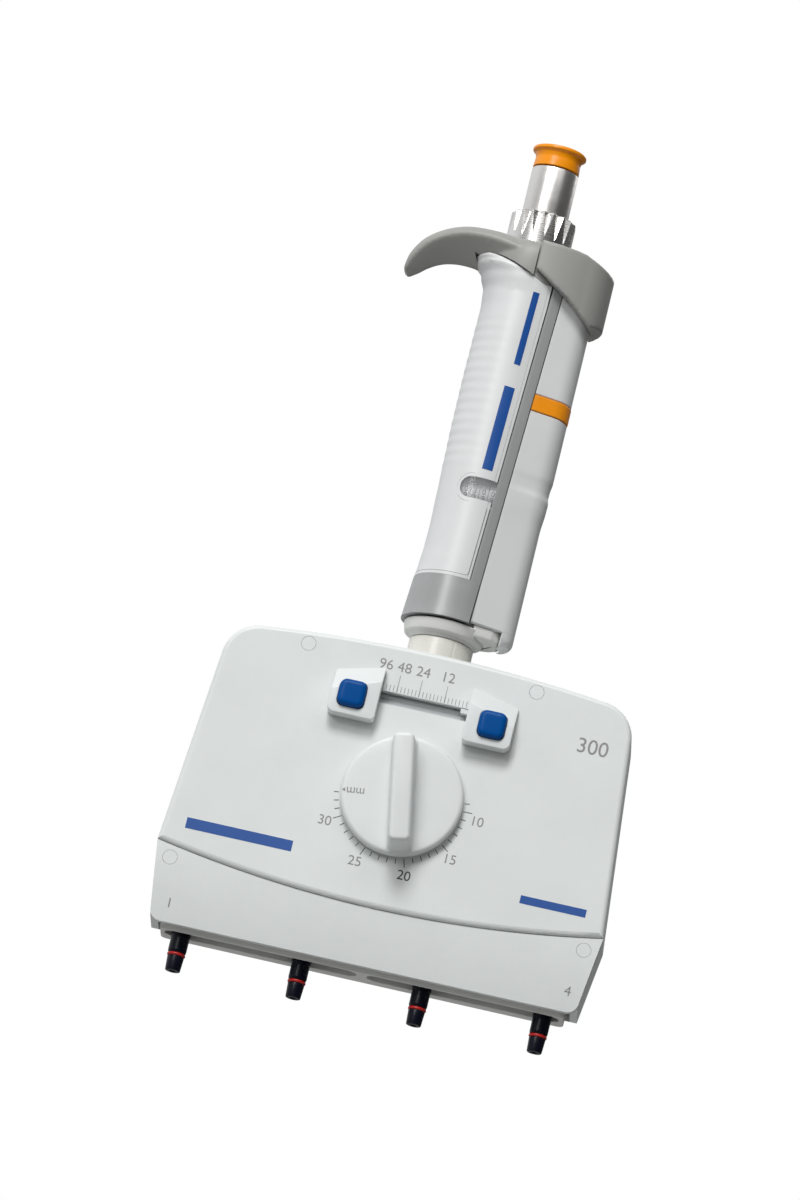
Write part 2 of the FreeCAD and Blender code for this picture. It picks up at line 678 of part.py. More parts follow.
def piston_plate():
    z0, z1 = PLATE_Z
    wide = box(-18.5, 18.5, 2.2, 8.0, z0, z1)
    middle = box(-4.5, 4.5, -3.2, 3.0, z0, z1)
    stem = rod_z(2.4, z1 - 0.5, 100.0)
    return fuse(wide, middle, stem)


def pistons():
    return Part.makeCompound([rod_z(PISTON_R, CYL_Z[0] + 15.5, PLATE_Z[0], x, HOSE_Y) for x in CYL_X])


def neck_tube():
    """Fixed tube that the handle turns in, with a foot that reaches back to the rear casing."""
    low = PLATE_Z[1] + 0.3
    tube = tube_z(*NECK_R, low, 103.6)
    foot = box(-15, 15, 3.0, REAR_Y - WALL, low, low + 1.4).cut(rod_z(NECK_R[0], low - 1, low + 3))
    return tube.fuse(foot).cut(box(-9, 9, -9, -6.6, low - 1, SLOT_Z[1] + 1))


def ejector_frame():
    """Cross bar under the sleeve and the two strips that push the ejector bar."""
    z0, z1 = SLEEVE_Z[0] - 3.0, SLEEVE_Z[0]
    bar = box(-26, 26, 2.5, 8.7, z0 + 0.4, z1)
    ring = rod_z(SLEEVE_R[1] - 0.05, z0 + 0.4, z1).cut(box(-12, 12, -12, -6.4, z0 - 1, z1 + 1))
    top = bar.fuse(ring).cut(rod_z(SLEEVE_R[0], 80, 100))
    strips = [box(s * 24 - 1.7, s * 24 + 1.7, 7.1, 8.7, BAR_Z[1], z0 + 1) for s in (-1, 1)]
    return fuse(top, *strips)


def ejector_sleeve():
    sleeve = tube_z(*SLEEVE_R, *SLEEVE_Z)
    return soften(sleeve, 0.4, lambda e: len(e.Vertexes) == 1 and e.CenterOfMass.z > 103.9)


def ejector_bar():
    y0, y1 = BAR_Y
    z0, z1 = BAR_Z
    bar = box(-BAR_HALF, BAR_HALF, y0, y1, z0, z1)
    bar = bar.makeFillet(2.0, edges_along(bar, V(0, 0, 1)))
    for edge, inwards, deep, tall in ((y0, 1, *BAR_FRONT_SLOPE), (y1, -1, *BAR_REAR_SLOPE)):
        under = [(edge - inwards, z0 - 1), (edge + inwards * deep, z0 - 1), (edge + inwards * deep, z0)]
        beside = [(edge, z0 + tall), (edge - inwards, z0 + tall)]
        bar = bar.cut(prism_yz(under + beside, BAR_HALF + 1))
    half = SLOT_WIDE / 2
    for side in (-1, 1):
        x0, x1 = sorted((side * SLOT_X[0], side * SLOT_X[1]))
        slot = box(x0 + half, x1 - half, -half, half, z0 - 1, z1 + 1)
        slot = fuse(slot, rod_z(half, z0 - 1, z1 + 1, x0 + half), rod_z(half, z0 - 1, z1 + 1, x1 - half))
        bar = bar.cut(slot)
    return bar


# ---- handle ----

def hull_wire(grow, z):
    """Handle section: the round grip and the smaller round of the rail, joined by tangents."""
    r1, r2 = HANDLE_R + grow, RAIL_R + grow
    lean = math.asin((HANDLE_R - RAIL_R) / RAIL_X)
    c, s = math.cos(lean), math.sin(lean)
    big = [V(r1 * s, -r1 * c, z), V(r1 * s, r1 * c, z)]
    small = [V(RAIL_X + r2 * s, -r2 * c, z), V(RAIL_X + r2 * s, r2 * c, z)]
    edges = [
        Part.Arc(big[1], V(-r1, 0, z), big[0]).toShape(),
        Part.LineSegment(big[0], small[0]).toShape(),
        Part.Arc(small[0], V(RAIL_X + r2, 0, z), small[1]).toShape(),
        Part.LineSegment(small[1], big[1]).toShape(),
    ]
    return Part.Wire(edges)


def hull(grow, z0, z1):
    return Part.Face(hull_wire(grow, z0)).extrude(V(0, 0, z1 - z0))


def edge_x(z):
    """Where the frame ends and the rail starts, at a height."""
    t = (z - EDGE_LOW[0]) / (EDGE_HIGH[0] - EDGE_LOW[0])
    return EDGE_LOW[1] + t * (EDGE_HIGH[1] - EDGE_LOW[1])


def left_of_edge(shift, z0, z1):
    """Everything to the left of the frame's edge line, moved by shift."""
    points = [(-30, z0), (edge_x(z0) + shift, z0), (edge_x(z1) + shift, z1), (-30, z1)]
    return prism_xz(points, -20, 20)


def handle_frame():
    z0, z1 = COLLAR_Z[0], HANDLE_TOP
    skin = turned([(0, z0), (COLLAR_R, z0), (HANDLE_R + 0.6, COLLAR_Z[1]), (0, COLLAR_Z[1])])
    body = fuse(hull(0.0, z0, z1), skin).common(left_of_edge(-0.15, z0, z1))
    under = left_of_edge(-STRIP, COLLAR_Z[1], z1).cut(rod_z(SHELL_R, z0, z1 + 1))
    body = body.cut(under).fuse(rod_z(SHELL_R, z0, z1))
    body = body.cut(rod_z(FRAME_R, COLLAR_Z[0] + 4.0, z1 + 1)).cut(rod_z(5.8, z0 - 1, z0 + 6))
    window = box(WINDOW_X - 6.5, WINDOW_X + 6.9, -14, 0, WINDOW_Z - 4.6, WINDOW_Z + 4.6)
    body = body.cut(window)
    post = rod_z(1.0, 122.0, 158.0, POST_X, 0)
    shelf = box(FRAME_R - 0.5, POST_X + 1.8, -1.8, 1.8, 121.0, 124.4)
    return fuse(body, shelf, post)


def window_prism(grow):
    """The window's outline: round at its left end, square at its right."""
    half_w, half_t = WINDOW_WIDE / 2 + grow, WINDOW_TALL / 2 + grow
    block = box(WINDOW_X - half_w + half_t, WINDOW_X + half_w, -14, -6, WINDOW_Z - half_t, WINDOW_Z + half_t)
    return block.fuse(rod_y(half_t, -14, -6, WINDOW_X - half_w + half_t, WINDOW_Z))


def grip_shell():
    z0, z1 = COLLAR_Z[1] + 0.05, HANDLE_TOP - 0.05
    shell = turned([(SHELL_R, z0), (HANDLE_R + 0.5, z0), (HANDLE_R, z0 + 10), (HANDLE_R, z1), (SHELL_R, z1)])
    shell = shell.common(left_of_edge(-STRIP - 0.05, z0, z1))
    return shell.cut(window_prism(0.0))


def display_lens():
    ring = tube_z(SHELL_R + 0.1, HANDLE_R - 0.1, WINDOW_Z - 5, WINDOW_Z + 5)
    return ring.common(window_prism(-0.03))


def handle_spigot():
    """Tube at the foot of the handle that turns in the neck."""
    tube = rod_z(NECK_R[0] - FIT, 91.5, COLLAR_Z[0] + 6)
    flange = rod_z(8.6, COLLAR_Z[0] + 4.0, COLLAR_Z[0] + 6)
    return tube.fuse(flange).cut(rod_z(2.9, 90, 120))


def counter_frame():
    """Cheeks, bridge and axle that carry the digit wheels."""
    x0 = WINDOW_X - WHEELS * WHEEL_STEP / 2 - 0.2
    x1 = WINDOW_X + WHEELS * WHEEL_STEP / 2 + 0.2
    z0, z1 = WINDOW_Z - 4.4, WINDOW_Z + 1.6
    cheeks = [box(a, a + 0.8, WHEEL_Y - 1.6, WHEEL_Y + 1.6, z0, z1) for a in (x0 - 0.8, x1)]
    bridge = box(x0 - 0.8, x1 + 0.8, WHEEL_Y - 1.6, WHEEL_Y + 1.6, WINDOW_Z - 4.4, WINDOW_Z - 3.4)
    axle = rod_x(AXLE_R, x0 - 0.8, x1 + 0.8, WHEEL_Y, WINDOW_Z)
    return fuse(bridge, *cheeks, axle)


def wheel_x(i):
    return WINDOW_X + (i - (WHEELS - 1) / 2) * WHEEL_STEP


def digit_wheel(i):
    x0 = wheel_x(i) - WHEEL_WIDE / 2
    wheel = rod_x(WHEEL_R, x0, x0 + WHEEL_WIDE, WHEEL_Y, WINDOW_Z)
    return wheel.cut(rod_x(AXLE_R + FIT, x0 - 1, x0 + WHEEL_WIDE + 1, WHEEL_Y, WINDOW_Z))


def finger_hook():
    """Collar at the top of the handle with the hook that rests on the forefinger."""
    z0, z1 = HOOK_Z
    collar = turned([(0, z0), (11.6, z0), (12.4, z0 + 3), (12.0, z1 - 1.2), (10.6, z1), (0, z1)])
    top = [V(-33.4, 0, 203.6), V(-29.5, 0, 213.6), V(-19.0, 0, 219.2), V(-6.0, 0, 218.6), V(0, 0, 217.0)]
    low = [V(-6.0, 0, 206.0), V(-15.5, 0, 209.0), V(-22.5, 0, 210.5), V(-28.5, 0, 208.0), V(-32.0, 0, 203.2)]
    upper, lower = Part.BSplineCurve(), Part.BSplineCurve()
    upper.interpolate(top)
    lower.interpolate(low)
    edges = [
        upper.toShape(),
        Part.LineSegment(top[-1], low[0]).toShape(),
        lower.toShape(),
        Part.LineSegment(low[-1], top[0]).toShape(),
    ]
    side = Part.Face(Part.Wire(edges)).extrude(V(0, 24, 0))
    side.translate(V(0, -12, 0))
    half_plan = [(2, 12.0), (-8, 11.4), (-22, 8.2), (-36, 5.6)]
    mirrored = [(x, -y) for x, y in reversed(half_plan)]
    plan = prism_xy(half_plan + mirrored, 200, 222)
    hook = side.common(plan)
    joined = collar.fuse(hook)
    right = box(1.4, 40, -20, 20, z0 - 10, z1 + 10).cut(rod_z(HANDLE_R + 0.1, z0 - 10, z1 + 10))
    joined = joined.cut(right).cut(rod_z(30, z1 + 0.2, z1 + 5, 13.5, 0))
    return joined.cut(rod_z(HOOK_BORE_R, z0 - 1, z1 + 10))


def ejector_cap():
    """Grey thumb cap of the ejector, wrapped round the right of the collar."""
    outline = [
        Part.Arc(V(1.7, -12.4, 190), V(9.0, -12.2, 190), V(15.5, -10.0, 190)).toShape(),
        Part.Arc(V(15.5, -10.0, 190), V(22.5, 0, 190), V(15.5, 10.0, 190)).toShape(),
        Part.Arc(V(15.5, 10.0, 190), V(9.0, 12.2, 190), V(1.7, 12.4, 190)).toShape(),
        Part.LineSegment(V(1.7, 12.4, 190), V(1.7, -12.4, 190)).toShape(),
    ]
    block = Part.Face(Part.Wire(outline)).extrude(V(0, 0, 40))
    side = prism_xz([(1.7, 209.2), (12.0, 203.0), (19.0, 197.6), (22.6, 198.6), (22.6, 213.6), (14.0, 216.6),
                     (1.7, 217.6)], -20, 20)
    block = block.common(side)
    block = block.cut(rod_z(HANDLE_R + 0.4, 180, 230)).cut(hull(0.0, 180, RAIL_Z[1]))
    lift = HANDLE_TOP + EJECT + 0.3
    return block.cut(hull(0.15, 180, lift).common(left_of_edge(0.4, 180, lift)))


def ejector_rail():
    """White rail down the right of the handle, with the ring that presses on the sleeve."""
    z0, z1 = RAIL_Z
    rail = hull(0.0, z0, z1).cut(left_of_edge(0.15, z0 - 1, z1 + 1))
    rail = rail.cut(hull(-RAIL_WALL, z0 - 1, z1 - 1.2)).cut(rod_z(HANDLE_R - 0.3, z0 - 1, z1 + 1))
    rail = rail.cut(turned([(0, 100), (COLLAR_R + 0.3, 100), (COLLAR_R + 0.3, COLLAR_Z[0] - 0.2),
                            (HANDLE_R + 0.95, COLLAR_Z[1] + 5), (0, COLLAR_Z[1] + 5)]))
    rib = box(11.6, RAIL_X + RAIL_R - 1, -4.5, 4.5, 150.2, 152.0).cut(rod_z(1.3, 140, 160, POST_X, 0))
    groove = hull(1.0, *BAND_Z).cut(hull(-0.5, *BAND_Z))
    ring = tube_z(7.35, 10.2, SLEEVE_Z[1] + 0.1, 107.8)
    arm = box(8.6, RAIL_X + RAIL_R - 1.6, -3.4, 3.4, 105.6, 107.8)
    riser = box(RAIL_X + 1.2, RAIL_X + RAIL_R - 0.8, -2.6, 2.6, 105.6, 118.0)
    rail = fuse(rail, rib, ring, arm, riser)
    slot = box(RAIL_X + RAIL_R - 0.6, RAIL_X + RAIL_R + 2, -1.6, 1.6, 180.0, 195.0)
    return rail.cut(groove).cut(slot)


def colour_band(rail):
    band = hull(0.08, *BAND_Z).cut(hull(-0.5, *BAND_Z)).cut(left_of_edge(0.15, *BAND_Z))
    return band.cut(rail)


# ---- plunger and volume ring ----

def volume_ring():
    z0, z1 = RING_Z
    ring = turned([(0, z0), (RING_R, z0), (RING_R, z0 + 5.2), (7.4, z1), (0, z1)])
    for k in range(RING_FLUTES):
        a = 2 * math.pi * k / RING_FLUTES
        r = RING_R - 0.3
        cutter = Part.makeCone(0.25, 1.25, 9.5, V(0, 0, 0), V(0, 0, 1))
        cutter.translate(V((r + 0.5) * math.cos(a), (r + 0.5) * math.sin(a), z0 + 1.4))
        lean = math.degrees(math.atan(0.12))
        cutter.rotate(V((r + 0.5) * math.cos(a), (r + 0.5) * math.sin(a), z0 + 1.4),
                      V(-math.sin(a), math.cos(a), 0), -lean)
        ring = ring.cut(cutter)
    hub = rod_z(HOOK_BORE_R - FIT, 211.0, z0)
    return ring.fuse(hub).cut(rod_z(SCREW_R[0], 200, 230)).cut(rod_z(SCREW_R[1], 200, 214))


def volume_screw():
    return tube_z(*SCREW_R, 192.5, 214.0)


def stop_nut():
    nut = tube_z(SCREW_R[1] + FIT, NUT_R, *NUT_Z)
    key = box(-1.2, 1.2, NUT_R - 0.4, NUT_R + 0.1, *NUT_Z)
    return nut.fuse(key)


def plunger_cap():
    z0, z1 = CAP_Z
    cap = turned([(0, z0), (CAP_R, z0), (CAP_R, 243.6), (CAP_FLANGE_R, 244.4), (CAP_FLANGE_R, z1 - 0.6),
                  (CAP_FLANGE_R - 0.7, z1), (0, z1)])
    return cap.cut(rod_z(ROD_PLUNGER_R, z0 - 1, z0 + 3))


def plunger_sleeve():
    return tube_z(ROD_PLUNGER_R, STEEL_R, 214.5, CAP_Z[0])


def plunger_rod():
    rod = rod_z(ROD_PLUNGER_R, 100.05, CAP_Z[0] + 3)
    return rod.fuse(rod_z(5.0, 138.2, 139.6))


def plunger_spring():
    return coil(4.0, 0.35, COLLAR_Z[0] + 6, 138.2, 7)


def ejector_spring():
    return coil(1.9, 0.25, 124.4, 150.2, 9, POST_X, 0)


def main():
    os.makedirs("parts", exist_ok=True)
    front = save("front_cover", front_cover())
    chin = save("chin_cover", chin_cover())
    save("rear_casing", rear_casing(front, chin))
    save("cover_plugs", cover_plugs(chin))
    save("housing_screws", housing_screws())
    for i in range(CHANNELS):
        save(f"tip_cone_{i + 1}", tip_cone(cone_x(i)))
        save(f"cone_seal_{i + 1}", cone_seal(cone_x(i)))
        save(f"carriage_{i + 1}", carriage(i))
    save("chassis_plate", chassis_plate())
    save("guide_rods", guide_rods())
    save("cylinders", cylinders())
    save("cylinder_seals", cylinder_seals())
    save("air_hoses", air_hoses())
    save("piston_plate", piston_plate())
    save("pistons", pistons())
    save("dial_pinion", dial_pinion())
    save("dial_knob", dial_knob())
    save("dial_screw", dial_screw())
    save("span_cursor", span_cursor())
    for name, side in (("left", -1), ("right", 1)):
        save(f"stop_{name}", stop_slider(side))
        save(f"button_{name}", lock_button(side))
        save(f"button_spring_{name}", button_spring(side))
    save("neck_tube", neck_tube())
    save("ejector_frame", ejector_frame())
    save("ejector_sleeve", ejector_sleeve())
    save("ejector_bar", ejector_bar())
    save("handle_frame", handle_frame())
    save("grip_shell", grip_shell())
    save("display_lens", display_lens())
    save("handle_spigot", handle_spigot())
    save("counter_frame", counter_frame())
    for i in range(WHEELS):
        save(f"digit_wheel_{i + 1}", digit_wheel(i))
    save("finger_hook", finger_hook())
    rail = save("ejector_rail", ejector_rail())
    save("colour_band", colour_band(rail))
    save("ejector_cap", ejector_cap())
    save("volume_ring", volume_ring())
    save("volume_screw", volume_screw())
    save("stop_nut", stop_nut())
    save("plunger_cap", plunger_cap())
    save("plunger_sleeve", plunger_sleeve())
    save("plunger_rod", plunger_rod())
    save("plunger_spring", plunger_spring())
    save("ejector_spring", ejector_spring())


main()
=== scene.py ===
# %% [markdown]
# # A four-channel pipette with a dial for the tip spacing
# The working parts come from a fixed CAD frame. This notebook dresses them: it lights the
# pipette, mixes its plastics and metals, and rebuilds the moulded and turned pieces that the eye
# rests on. Nothing of the frame is moved, so every piece still fits the mechanism under it.

# %% Load the frame
import json
import math

import bmesh
import bpy
from mathutils import Matrix, Vector


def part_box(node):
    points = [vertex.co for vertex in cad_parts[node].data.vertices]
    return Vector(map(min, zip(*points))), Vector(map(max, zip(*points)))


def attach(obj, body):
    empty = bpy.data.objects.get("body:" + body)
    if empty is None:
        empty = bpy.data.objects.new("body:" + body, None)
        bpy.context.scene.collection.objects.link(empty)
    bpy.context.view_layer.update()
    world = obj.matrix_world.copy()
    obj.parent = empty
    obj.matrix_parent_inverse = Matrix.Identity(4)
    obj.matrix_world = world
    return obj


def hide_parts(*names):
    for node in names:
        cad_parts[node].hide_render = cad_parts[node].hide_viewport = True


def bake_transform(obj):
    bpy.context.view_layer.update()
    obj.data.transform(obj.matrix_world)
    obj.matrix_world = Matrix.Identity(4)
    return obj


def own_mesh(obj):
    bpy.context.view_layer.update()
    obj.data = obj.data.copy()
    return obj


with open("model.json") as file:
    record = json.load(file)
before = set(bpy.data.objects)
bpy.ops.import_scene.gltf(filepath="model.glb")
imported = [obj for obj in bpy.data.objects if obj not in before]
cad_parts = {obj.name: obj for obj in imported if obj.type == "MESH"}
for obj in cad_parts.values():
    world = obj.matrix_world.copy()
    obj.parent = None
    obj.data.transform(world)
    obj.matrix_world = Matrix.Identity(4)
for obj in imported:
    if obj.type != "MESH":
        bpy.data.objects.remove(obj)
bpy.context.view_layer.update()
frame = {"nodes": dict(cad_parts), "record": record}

MM = 0.001
scene = bpy.context.scene


def box_mm(node):
    """Lowest and highest corner of a CAD node, in millimetres."""
    low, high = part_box(node)
    return low / MM, high / MM


# %% [markdown]
# ## Camera
# The pipette is seen from a little below and from its right, and the camera is rolled, so that the
# handle leans. A long lens a good way off keeps the dial round and the housing's edges almost
# parallel. The roll is built into the camera's axes, and no lens shift is needed.

# %% Camera
AZIMUTH = math.radians(3.84)
ELEVATION = math.radians(-15.03)
ROLL = math.radians(13.63)
DISTANCE = 4.0
VIEW_HIGH = 0.3223            # height of the view where the pipette stands
SENSOR = 36.0
aim = Vector((-0.0137, 0.0, 0.1138))

back = Vector((
    math.sin(AZIMUTH) * math.cos(ELEVATION),
    -math.cos(AZIMUTH) * math.cos(ELEVATION),
    math.sin(ELEVATION),
))
level = Vector((math.cos(AZIMUTH), math.sin(AZIMUTH), 0.0))
upright = back.cross(level)
right = level * math.cos(ROLL) + upright * math.sin(ROLL)
up = upright * math.cos(ROLL) - level * math.sin(ROLL)

camera_data = bpy.data.cameras.new("camera")
camera_data.sensor_width = SENSOR
camera_data.lens = SENSOR * DISTANCE / VIEW_HIGH
camera_data.clip_start = 0.05
camera_data.clip_end = 40.0
camera = bpy.data.objects.new("camera", camera_data)
scene.collection.objects.link(camera)
axes = Matrix((right, up, back)).transposed().to_4x4()
camera.matrix_world = Matrix.Translation(aim + back * DISTANCE) @ axes
scene.camera = camera
print("lens", round(camera_data.lens, 1), "mm, camera at", [round(v, 3) for v in camera.location])

# %% [markdown]
# ## Studio
# A white plastic tool on white needs light with a direction, or its edges vanish. One broad soft
# box stands high in front, a little to the left. A small weak one, lower on the left, draws a soft
# line on the round pieces, another fills from the right, and a faint one behind lights the rims.
# The sky darkens to the right, below and in front, which gives the steel its dark band. The floor
# lies far below, out of the way of a camera that looks up. The camera itself sees plain white.

# %% Sky
scene.view_settings.view_transform = "Standard"
world = bpy.data.worlds.new("studio")
scene.world = world
world.use_nodes = True
sky = world.node_tree
sky.nodes.clear()


def sky_node(kind, **values):
    node = sky.nodes.new(kind)
    for key, value in values.items():
        setattr(node, key, value)
    return node


direction = sky_node("ShaderNodeTexCoord")
split = sky_node("ShaderNodeSeparateXYZ")
sideways = sky_node("ShaderNodeMapRange", interpolation_type="SMOOTHSTEP")
upwards = sky_node("ShaderNodeMapRange", interpolation_type="SMOOTHSTEP")
frontwards = sky_node("ShaderNodeMapRange", interpolation_type="SMOOTHSTEP")
both = sky_node("ShaderNodeMath", operation="MULTIPLY")
all_three = sky_node("ShaderNodeMath", operation="MULTIPLY")
soft_sky = sky_node("ShaderNodeBackground")
plain_white = sky_node("ShaderNodeBackground")
ray = sky_node("ShaderNodeLightPath")
choose = sky_node("ShaderNodeMixShader")
sky_out = sky_node("ShaderNodeOutputWorld")
for node, ends in (
    (sideways, (0.7, -0.7, 0.11, 1.0)),
    (upwards, (-0.9, 0.9, 0.1, 1.05)),
    (frontwards, (-0.9, 0.2, 0.36, 1.0)),
):
    for socket, value in zip(("From Min", "From Max", "To Min", "To Max"), ends):
        node.inputs[socket].default_value = value
soft_sky.inputs["Color"].default_value = (0.96, 0.98, 1.0, 1.0)
plain_white.inputs["Color"].default_value = (1.0, 1.0, 1.0, 1.0)
sky.links.new(direction.outputs["Generated"], split.inputs[0])
sky.links.new(split.outputs["X"], sideways.inputs["Value"])
sky.links.new(split.outputs["Z"], upwards.inputs["Value"])
sky.links.new(sideways.outputs[0], both.inputs[0])
sky.links.new(upwards.outputs[0], both.inputs[1])
sky.links.new(split.outputs["Y"], frontwards.inputs["Value"])
sky.links.new(both.outputs[0], all_three.inputs[0])
sky.links.new(frontwards.outputs[0], all_three.inputs[1])
sky.links.new(all_three.outputs[0], soft_sky.inputs["Strength"])
sky.links.new(ray.outputs["Is Camera Ray"], choose.inputs[0])
sky.links.new(soft_sky.outputs[0], choose.inputs[1])
sky.links.new(plain_white.outputs[0], choose.inputs[2])
sky.links.new(choose.outputs[0], sky_out.inputs[0])
print("sky nodes", len(sky.nodes))

# %% Soft boxes


def soft_box(name, place, size, power):
    """A square area light that faces the middle of the pipette."""
    data = bpy.data.lights.new(name, "AREA")
    data.size = size
    data.energy = power
    lamp = bpy.data.objects.new(name, data)
    lamp.location = place
    lamp.rotation_euler = (aim - Vector(place)).to_track_quat("-Z", "Y").to_euler()
    scene.collection.objects.link(lamp)
    return lamp


soft_box("key_box", (-0.6, -2.7, 2.6), 1.2, 86.0)
soft_box("strip_box", (-0.66, -1.6, 0.72), 0.5, 7.0)
soft_box("fill_box", (1.3, -1.9, 2.2), 1.2, 11.0)
soft_box("rim_box", (0.5, 0.9, 0.9), 0.6, 2.5)

# %% [markdown]
# ## Shared effects
# Plastic from a mould is never one flat colour. It has a fine eroded grain and slow changes of tone
# where it cooled. Shade is also painted into narrow gaps and corners as grey, and a painted sheen
# lightens the convex edges. Each of these is a node group, made once and placed in each material
# that shows it, with that material's numbers.

# %% Node group helpers


def start_group(name, inputs, outputs):
    """A shader node group with named number inputs and outputs."""
    tree = bpy.data.node_groups.new(name, "ShaderNodeTree")
    for label, value in inputs.items():
        socket = tree.interface.new_socket(label, in_out="INPUT", socket_type="NodeSocketFloat")
        socket.default_value = value
    for label in outputs:
        tree.interface.new_socket(label, in_out="OUTPUT", socket_type="NodeSocketFloat")
    return tree, tree.nodes.new("NodeGroupInput"), tree.nodes.new("NodeGroupOutput")


def stretched_noise(tree, stretch, scale, detail=2.0):
    """Noise in the piece's own space; stretch is how much finer it is along X, Y and Z."""
    place = tree.nodes.new("ShaderNodeTexCoord")
    mapping = tree.nodes.new("ShaderNodeMapping")
    mapping.inputs["Scale"].default_value = stretch
    noise = tree.nodes.new("ShaderNodeTexNoise")
    noise.inputs["Detail"].default_value = detail
    tree.links.new(place.outputs["Object"], mapping.inputs["Vector"])
    tree.links.new(mapping.outputs[0], noise.inputs["Vector"])
    if isinstance(scale, float):
        noise.inputs["Scale"].default_value = scale
    else:
        tree.links.new(scale, noise.inputs["Scale"])
    return noise.outputs[0]


def spread(tree, value, low, high, to_low=0.0, to_high=1.0):
    """Map a value from one range to another, held at the ends."""
    node = tree.nodes.new("ShaderNodeMapRange")
    for label, number in (("From Min", low), ("From Max", high), ("To Min", to_low), ("To Max", to_high)):
        node.inputs[label].default_value = number
    tree.links.new(value, node.inputs["Value"])
    return node.outputs[0]


def multiply(tree, a, b):
    node = tree.nodes.new("ShaderNodeMath")
    node.operation = "MULTIPLY"
    for socket, value in zip(node.inputs, (a, b)):
        if isinstance(value, float):
            socket.default_value = value
        else:
            tree.links.new(value, socket)
    return node.outputs[0]


# %% Moulded grain


def make_moulded_grain():
    """Fine eroded grain for the height, and slow patches for tone and shine."""
    tree, given, out = start_group("moulded_grain", {"Grain scale": 2600.0}, ("Height", "Patches", "Shine"))
    fine = stretched_noise(tree, (1, 1, 1), given.outputs["Grain scale"], 3.0)
    patches = stretched_noise(tree, (1, 1, 1), 70.0, 2.0)
    tree.links.new(fine, out.inputs["Height"])
    tree.links.new(spread(tree, patches, 0.3, 0.7), out.inputs["Patches"])
    fine_shine = spread(tree, fine, 0.25, 0.75, 0.6, 1.0)
    patch_shine = spread(tree, patches, 0.3, 0.7, 0.7, 1.0)
    tree.links.new(multiply(tree, fine_shine, patch_shine), out.inputs["Shine"])
    return tree


def make_corner_dust():
    """A mask of painted shade: strong where occlusion finds narrow gaps and corners, broken up by noise."""
    tree, given, out = start_group("painted_corner_shade", {"Amount": 0.5}, ("Painted shade",))
    shade = tree.nodes.new("ShaderNodeAmbientOcclusion")
    shade.samples = 6
    shade.inputs["Distance"].default_value = 0.0016
    deep = spread(tree, shade.outputs["AO"], 0.75, 0.2)
    broken = spread(tree, stretched_noise(tree, (1, 1, 1), 900.0, 3.0), 0.3, 0.6, 0.5, 1.0)
    amount = multiply(tree, multiply(tree, deep, broken), given.outputs["Amount"])
    tree.links.new(amount, out.inputs["Painted shade"])
    return tree


def make_rubbed_edges():
    """A mask for a painted sheen on convex edges, where hands polish a satin surface."""
    tree, given, out = start_group("painted_edge_sheen", {"Amount": 0.5}, ("Painted sheen",))
    shape = tree.nodes.new("ShaderNodeNewGeometry")
    edge = spread(tree, shape.outputs["Pointiness"], 0.51, 0.58)
    broken = spread(tree, stretched_noise(tree, (1, 1, 1), 420.0, 3.0), 0.35, 0.65, 0.4, 1.0)
    amount = multiply(tree, multiply(tree, edge, broken), given.outputs["Amount"])
    tree.links.new(amount, out.inputs["Painted sheen"])
    return tree


def make_turned_lines():
    """Hair-fine rings left by a lathe: noise squeezed along the turning axis, Z."""
    tree, given, out = start_group("turned_lines", {"Ring scale": 1.0}, ("Height", "Shine"))
    lines = stretched_noise(tree, (40, 40, 9000), given.outputs["Ring scale"], 4.0)
    smears = stretched_noise(tree, (260, 260, 90), 1.0, 2.0)
    tree.links.new(lines, out.inputs["Height"])
    line_shine = spread(tree, lines, 0.3, 0.7, 0.6, 1.0)
    smear_shine = spread(tree, smears, 0.3, 0.7, 0.8, 1.0)
    tree.links.new(multiply(tree, line_shine, smear_shine), out.inputs["Shine"])
    return tree


EFFECTS = {
    "grain": make_moulded_grain(),
    "corner_shade": make_corner_dust(),
    "edge_sheen": make_rubbed_edges(),
    "turned": make_turned_lines(),
}
print("effects", [tree.name for tree in EFFECTS.values()])

# %% [markdown]
# ## Plastics
# Almost the whole pipette is moulded: satin white housing, soft white grip, silver-grey frame, warm
# grey hook, blue buttons, orange band. They differ in colour, in shine and in how coarse the grain
# is, so one function mixes them all. Colour, roughness and bump come from the shared groups.

# %% Material helpers


def place_effect(tree, key, **values):
    node = tree.nodes.new("ShaderNodeGroup")
    node.node_tree = EFFECTS[key]
    for label, value in values.items():
        node.inputs[label.replace("_", " ")].default_value = value
    return node


def tint(tree, mask, colour_a, colour_b):
    """Mix two colours by a mask; either colour may be a socket."""
    node = tree.nodes.new("ShaderNodeMix")
    node.data_type = "RGBA"
    tree.links.new(mask, node.inputs["Factor"])
    for label, colour in (("A", colour_a), ("B", colour_b)):
        socket = next(s for s in node.inputs if s.name == label and s.type == "RGBA")
        if isinstance(colour, tuple):
            socket.default_value = (*colour, 1.0)
        else:
            tree.links.new(colour, socket)
    return next(s for s in node.outputs if s.type == "RGBA")


def shaded(colour, share):
    return tuple(channel * share for channel in colour)


def bump(tree, principled, height, depth):
    """Bump of a real depth in millimetres."""
    node = tree.nodes.new("ShaderNodeBump")
    node.inputs["Strength"].default_value = 1.0
    node.inputs["Distance"].default_value = depth * MM
    tree.links.new(height, node.inputs["Height"])
    tree.links.new(node.outputs[0], principled.inputs["Normal"])


def empty_material(name):
    material = bpy.data.materials.new(name)
    material.use_nodes = True
    return material, material.node_tree, material.node_tree.nodes["Principled BSDF"]


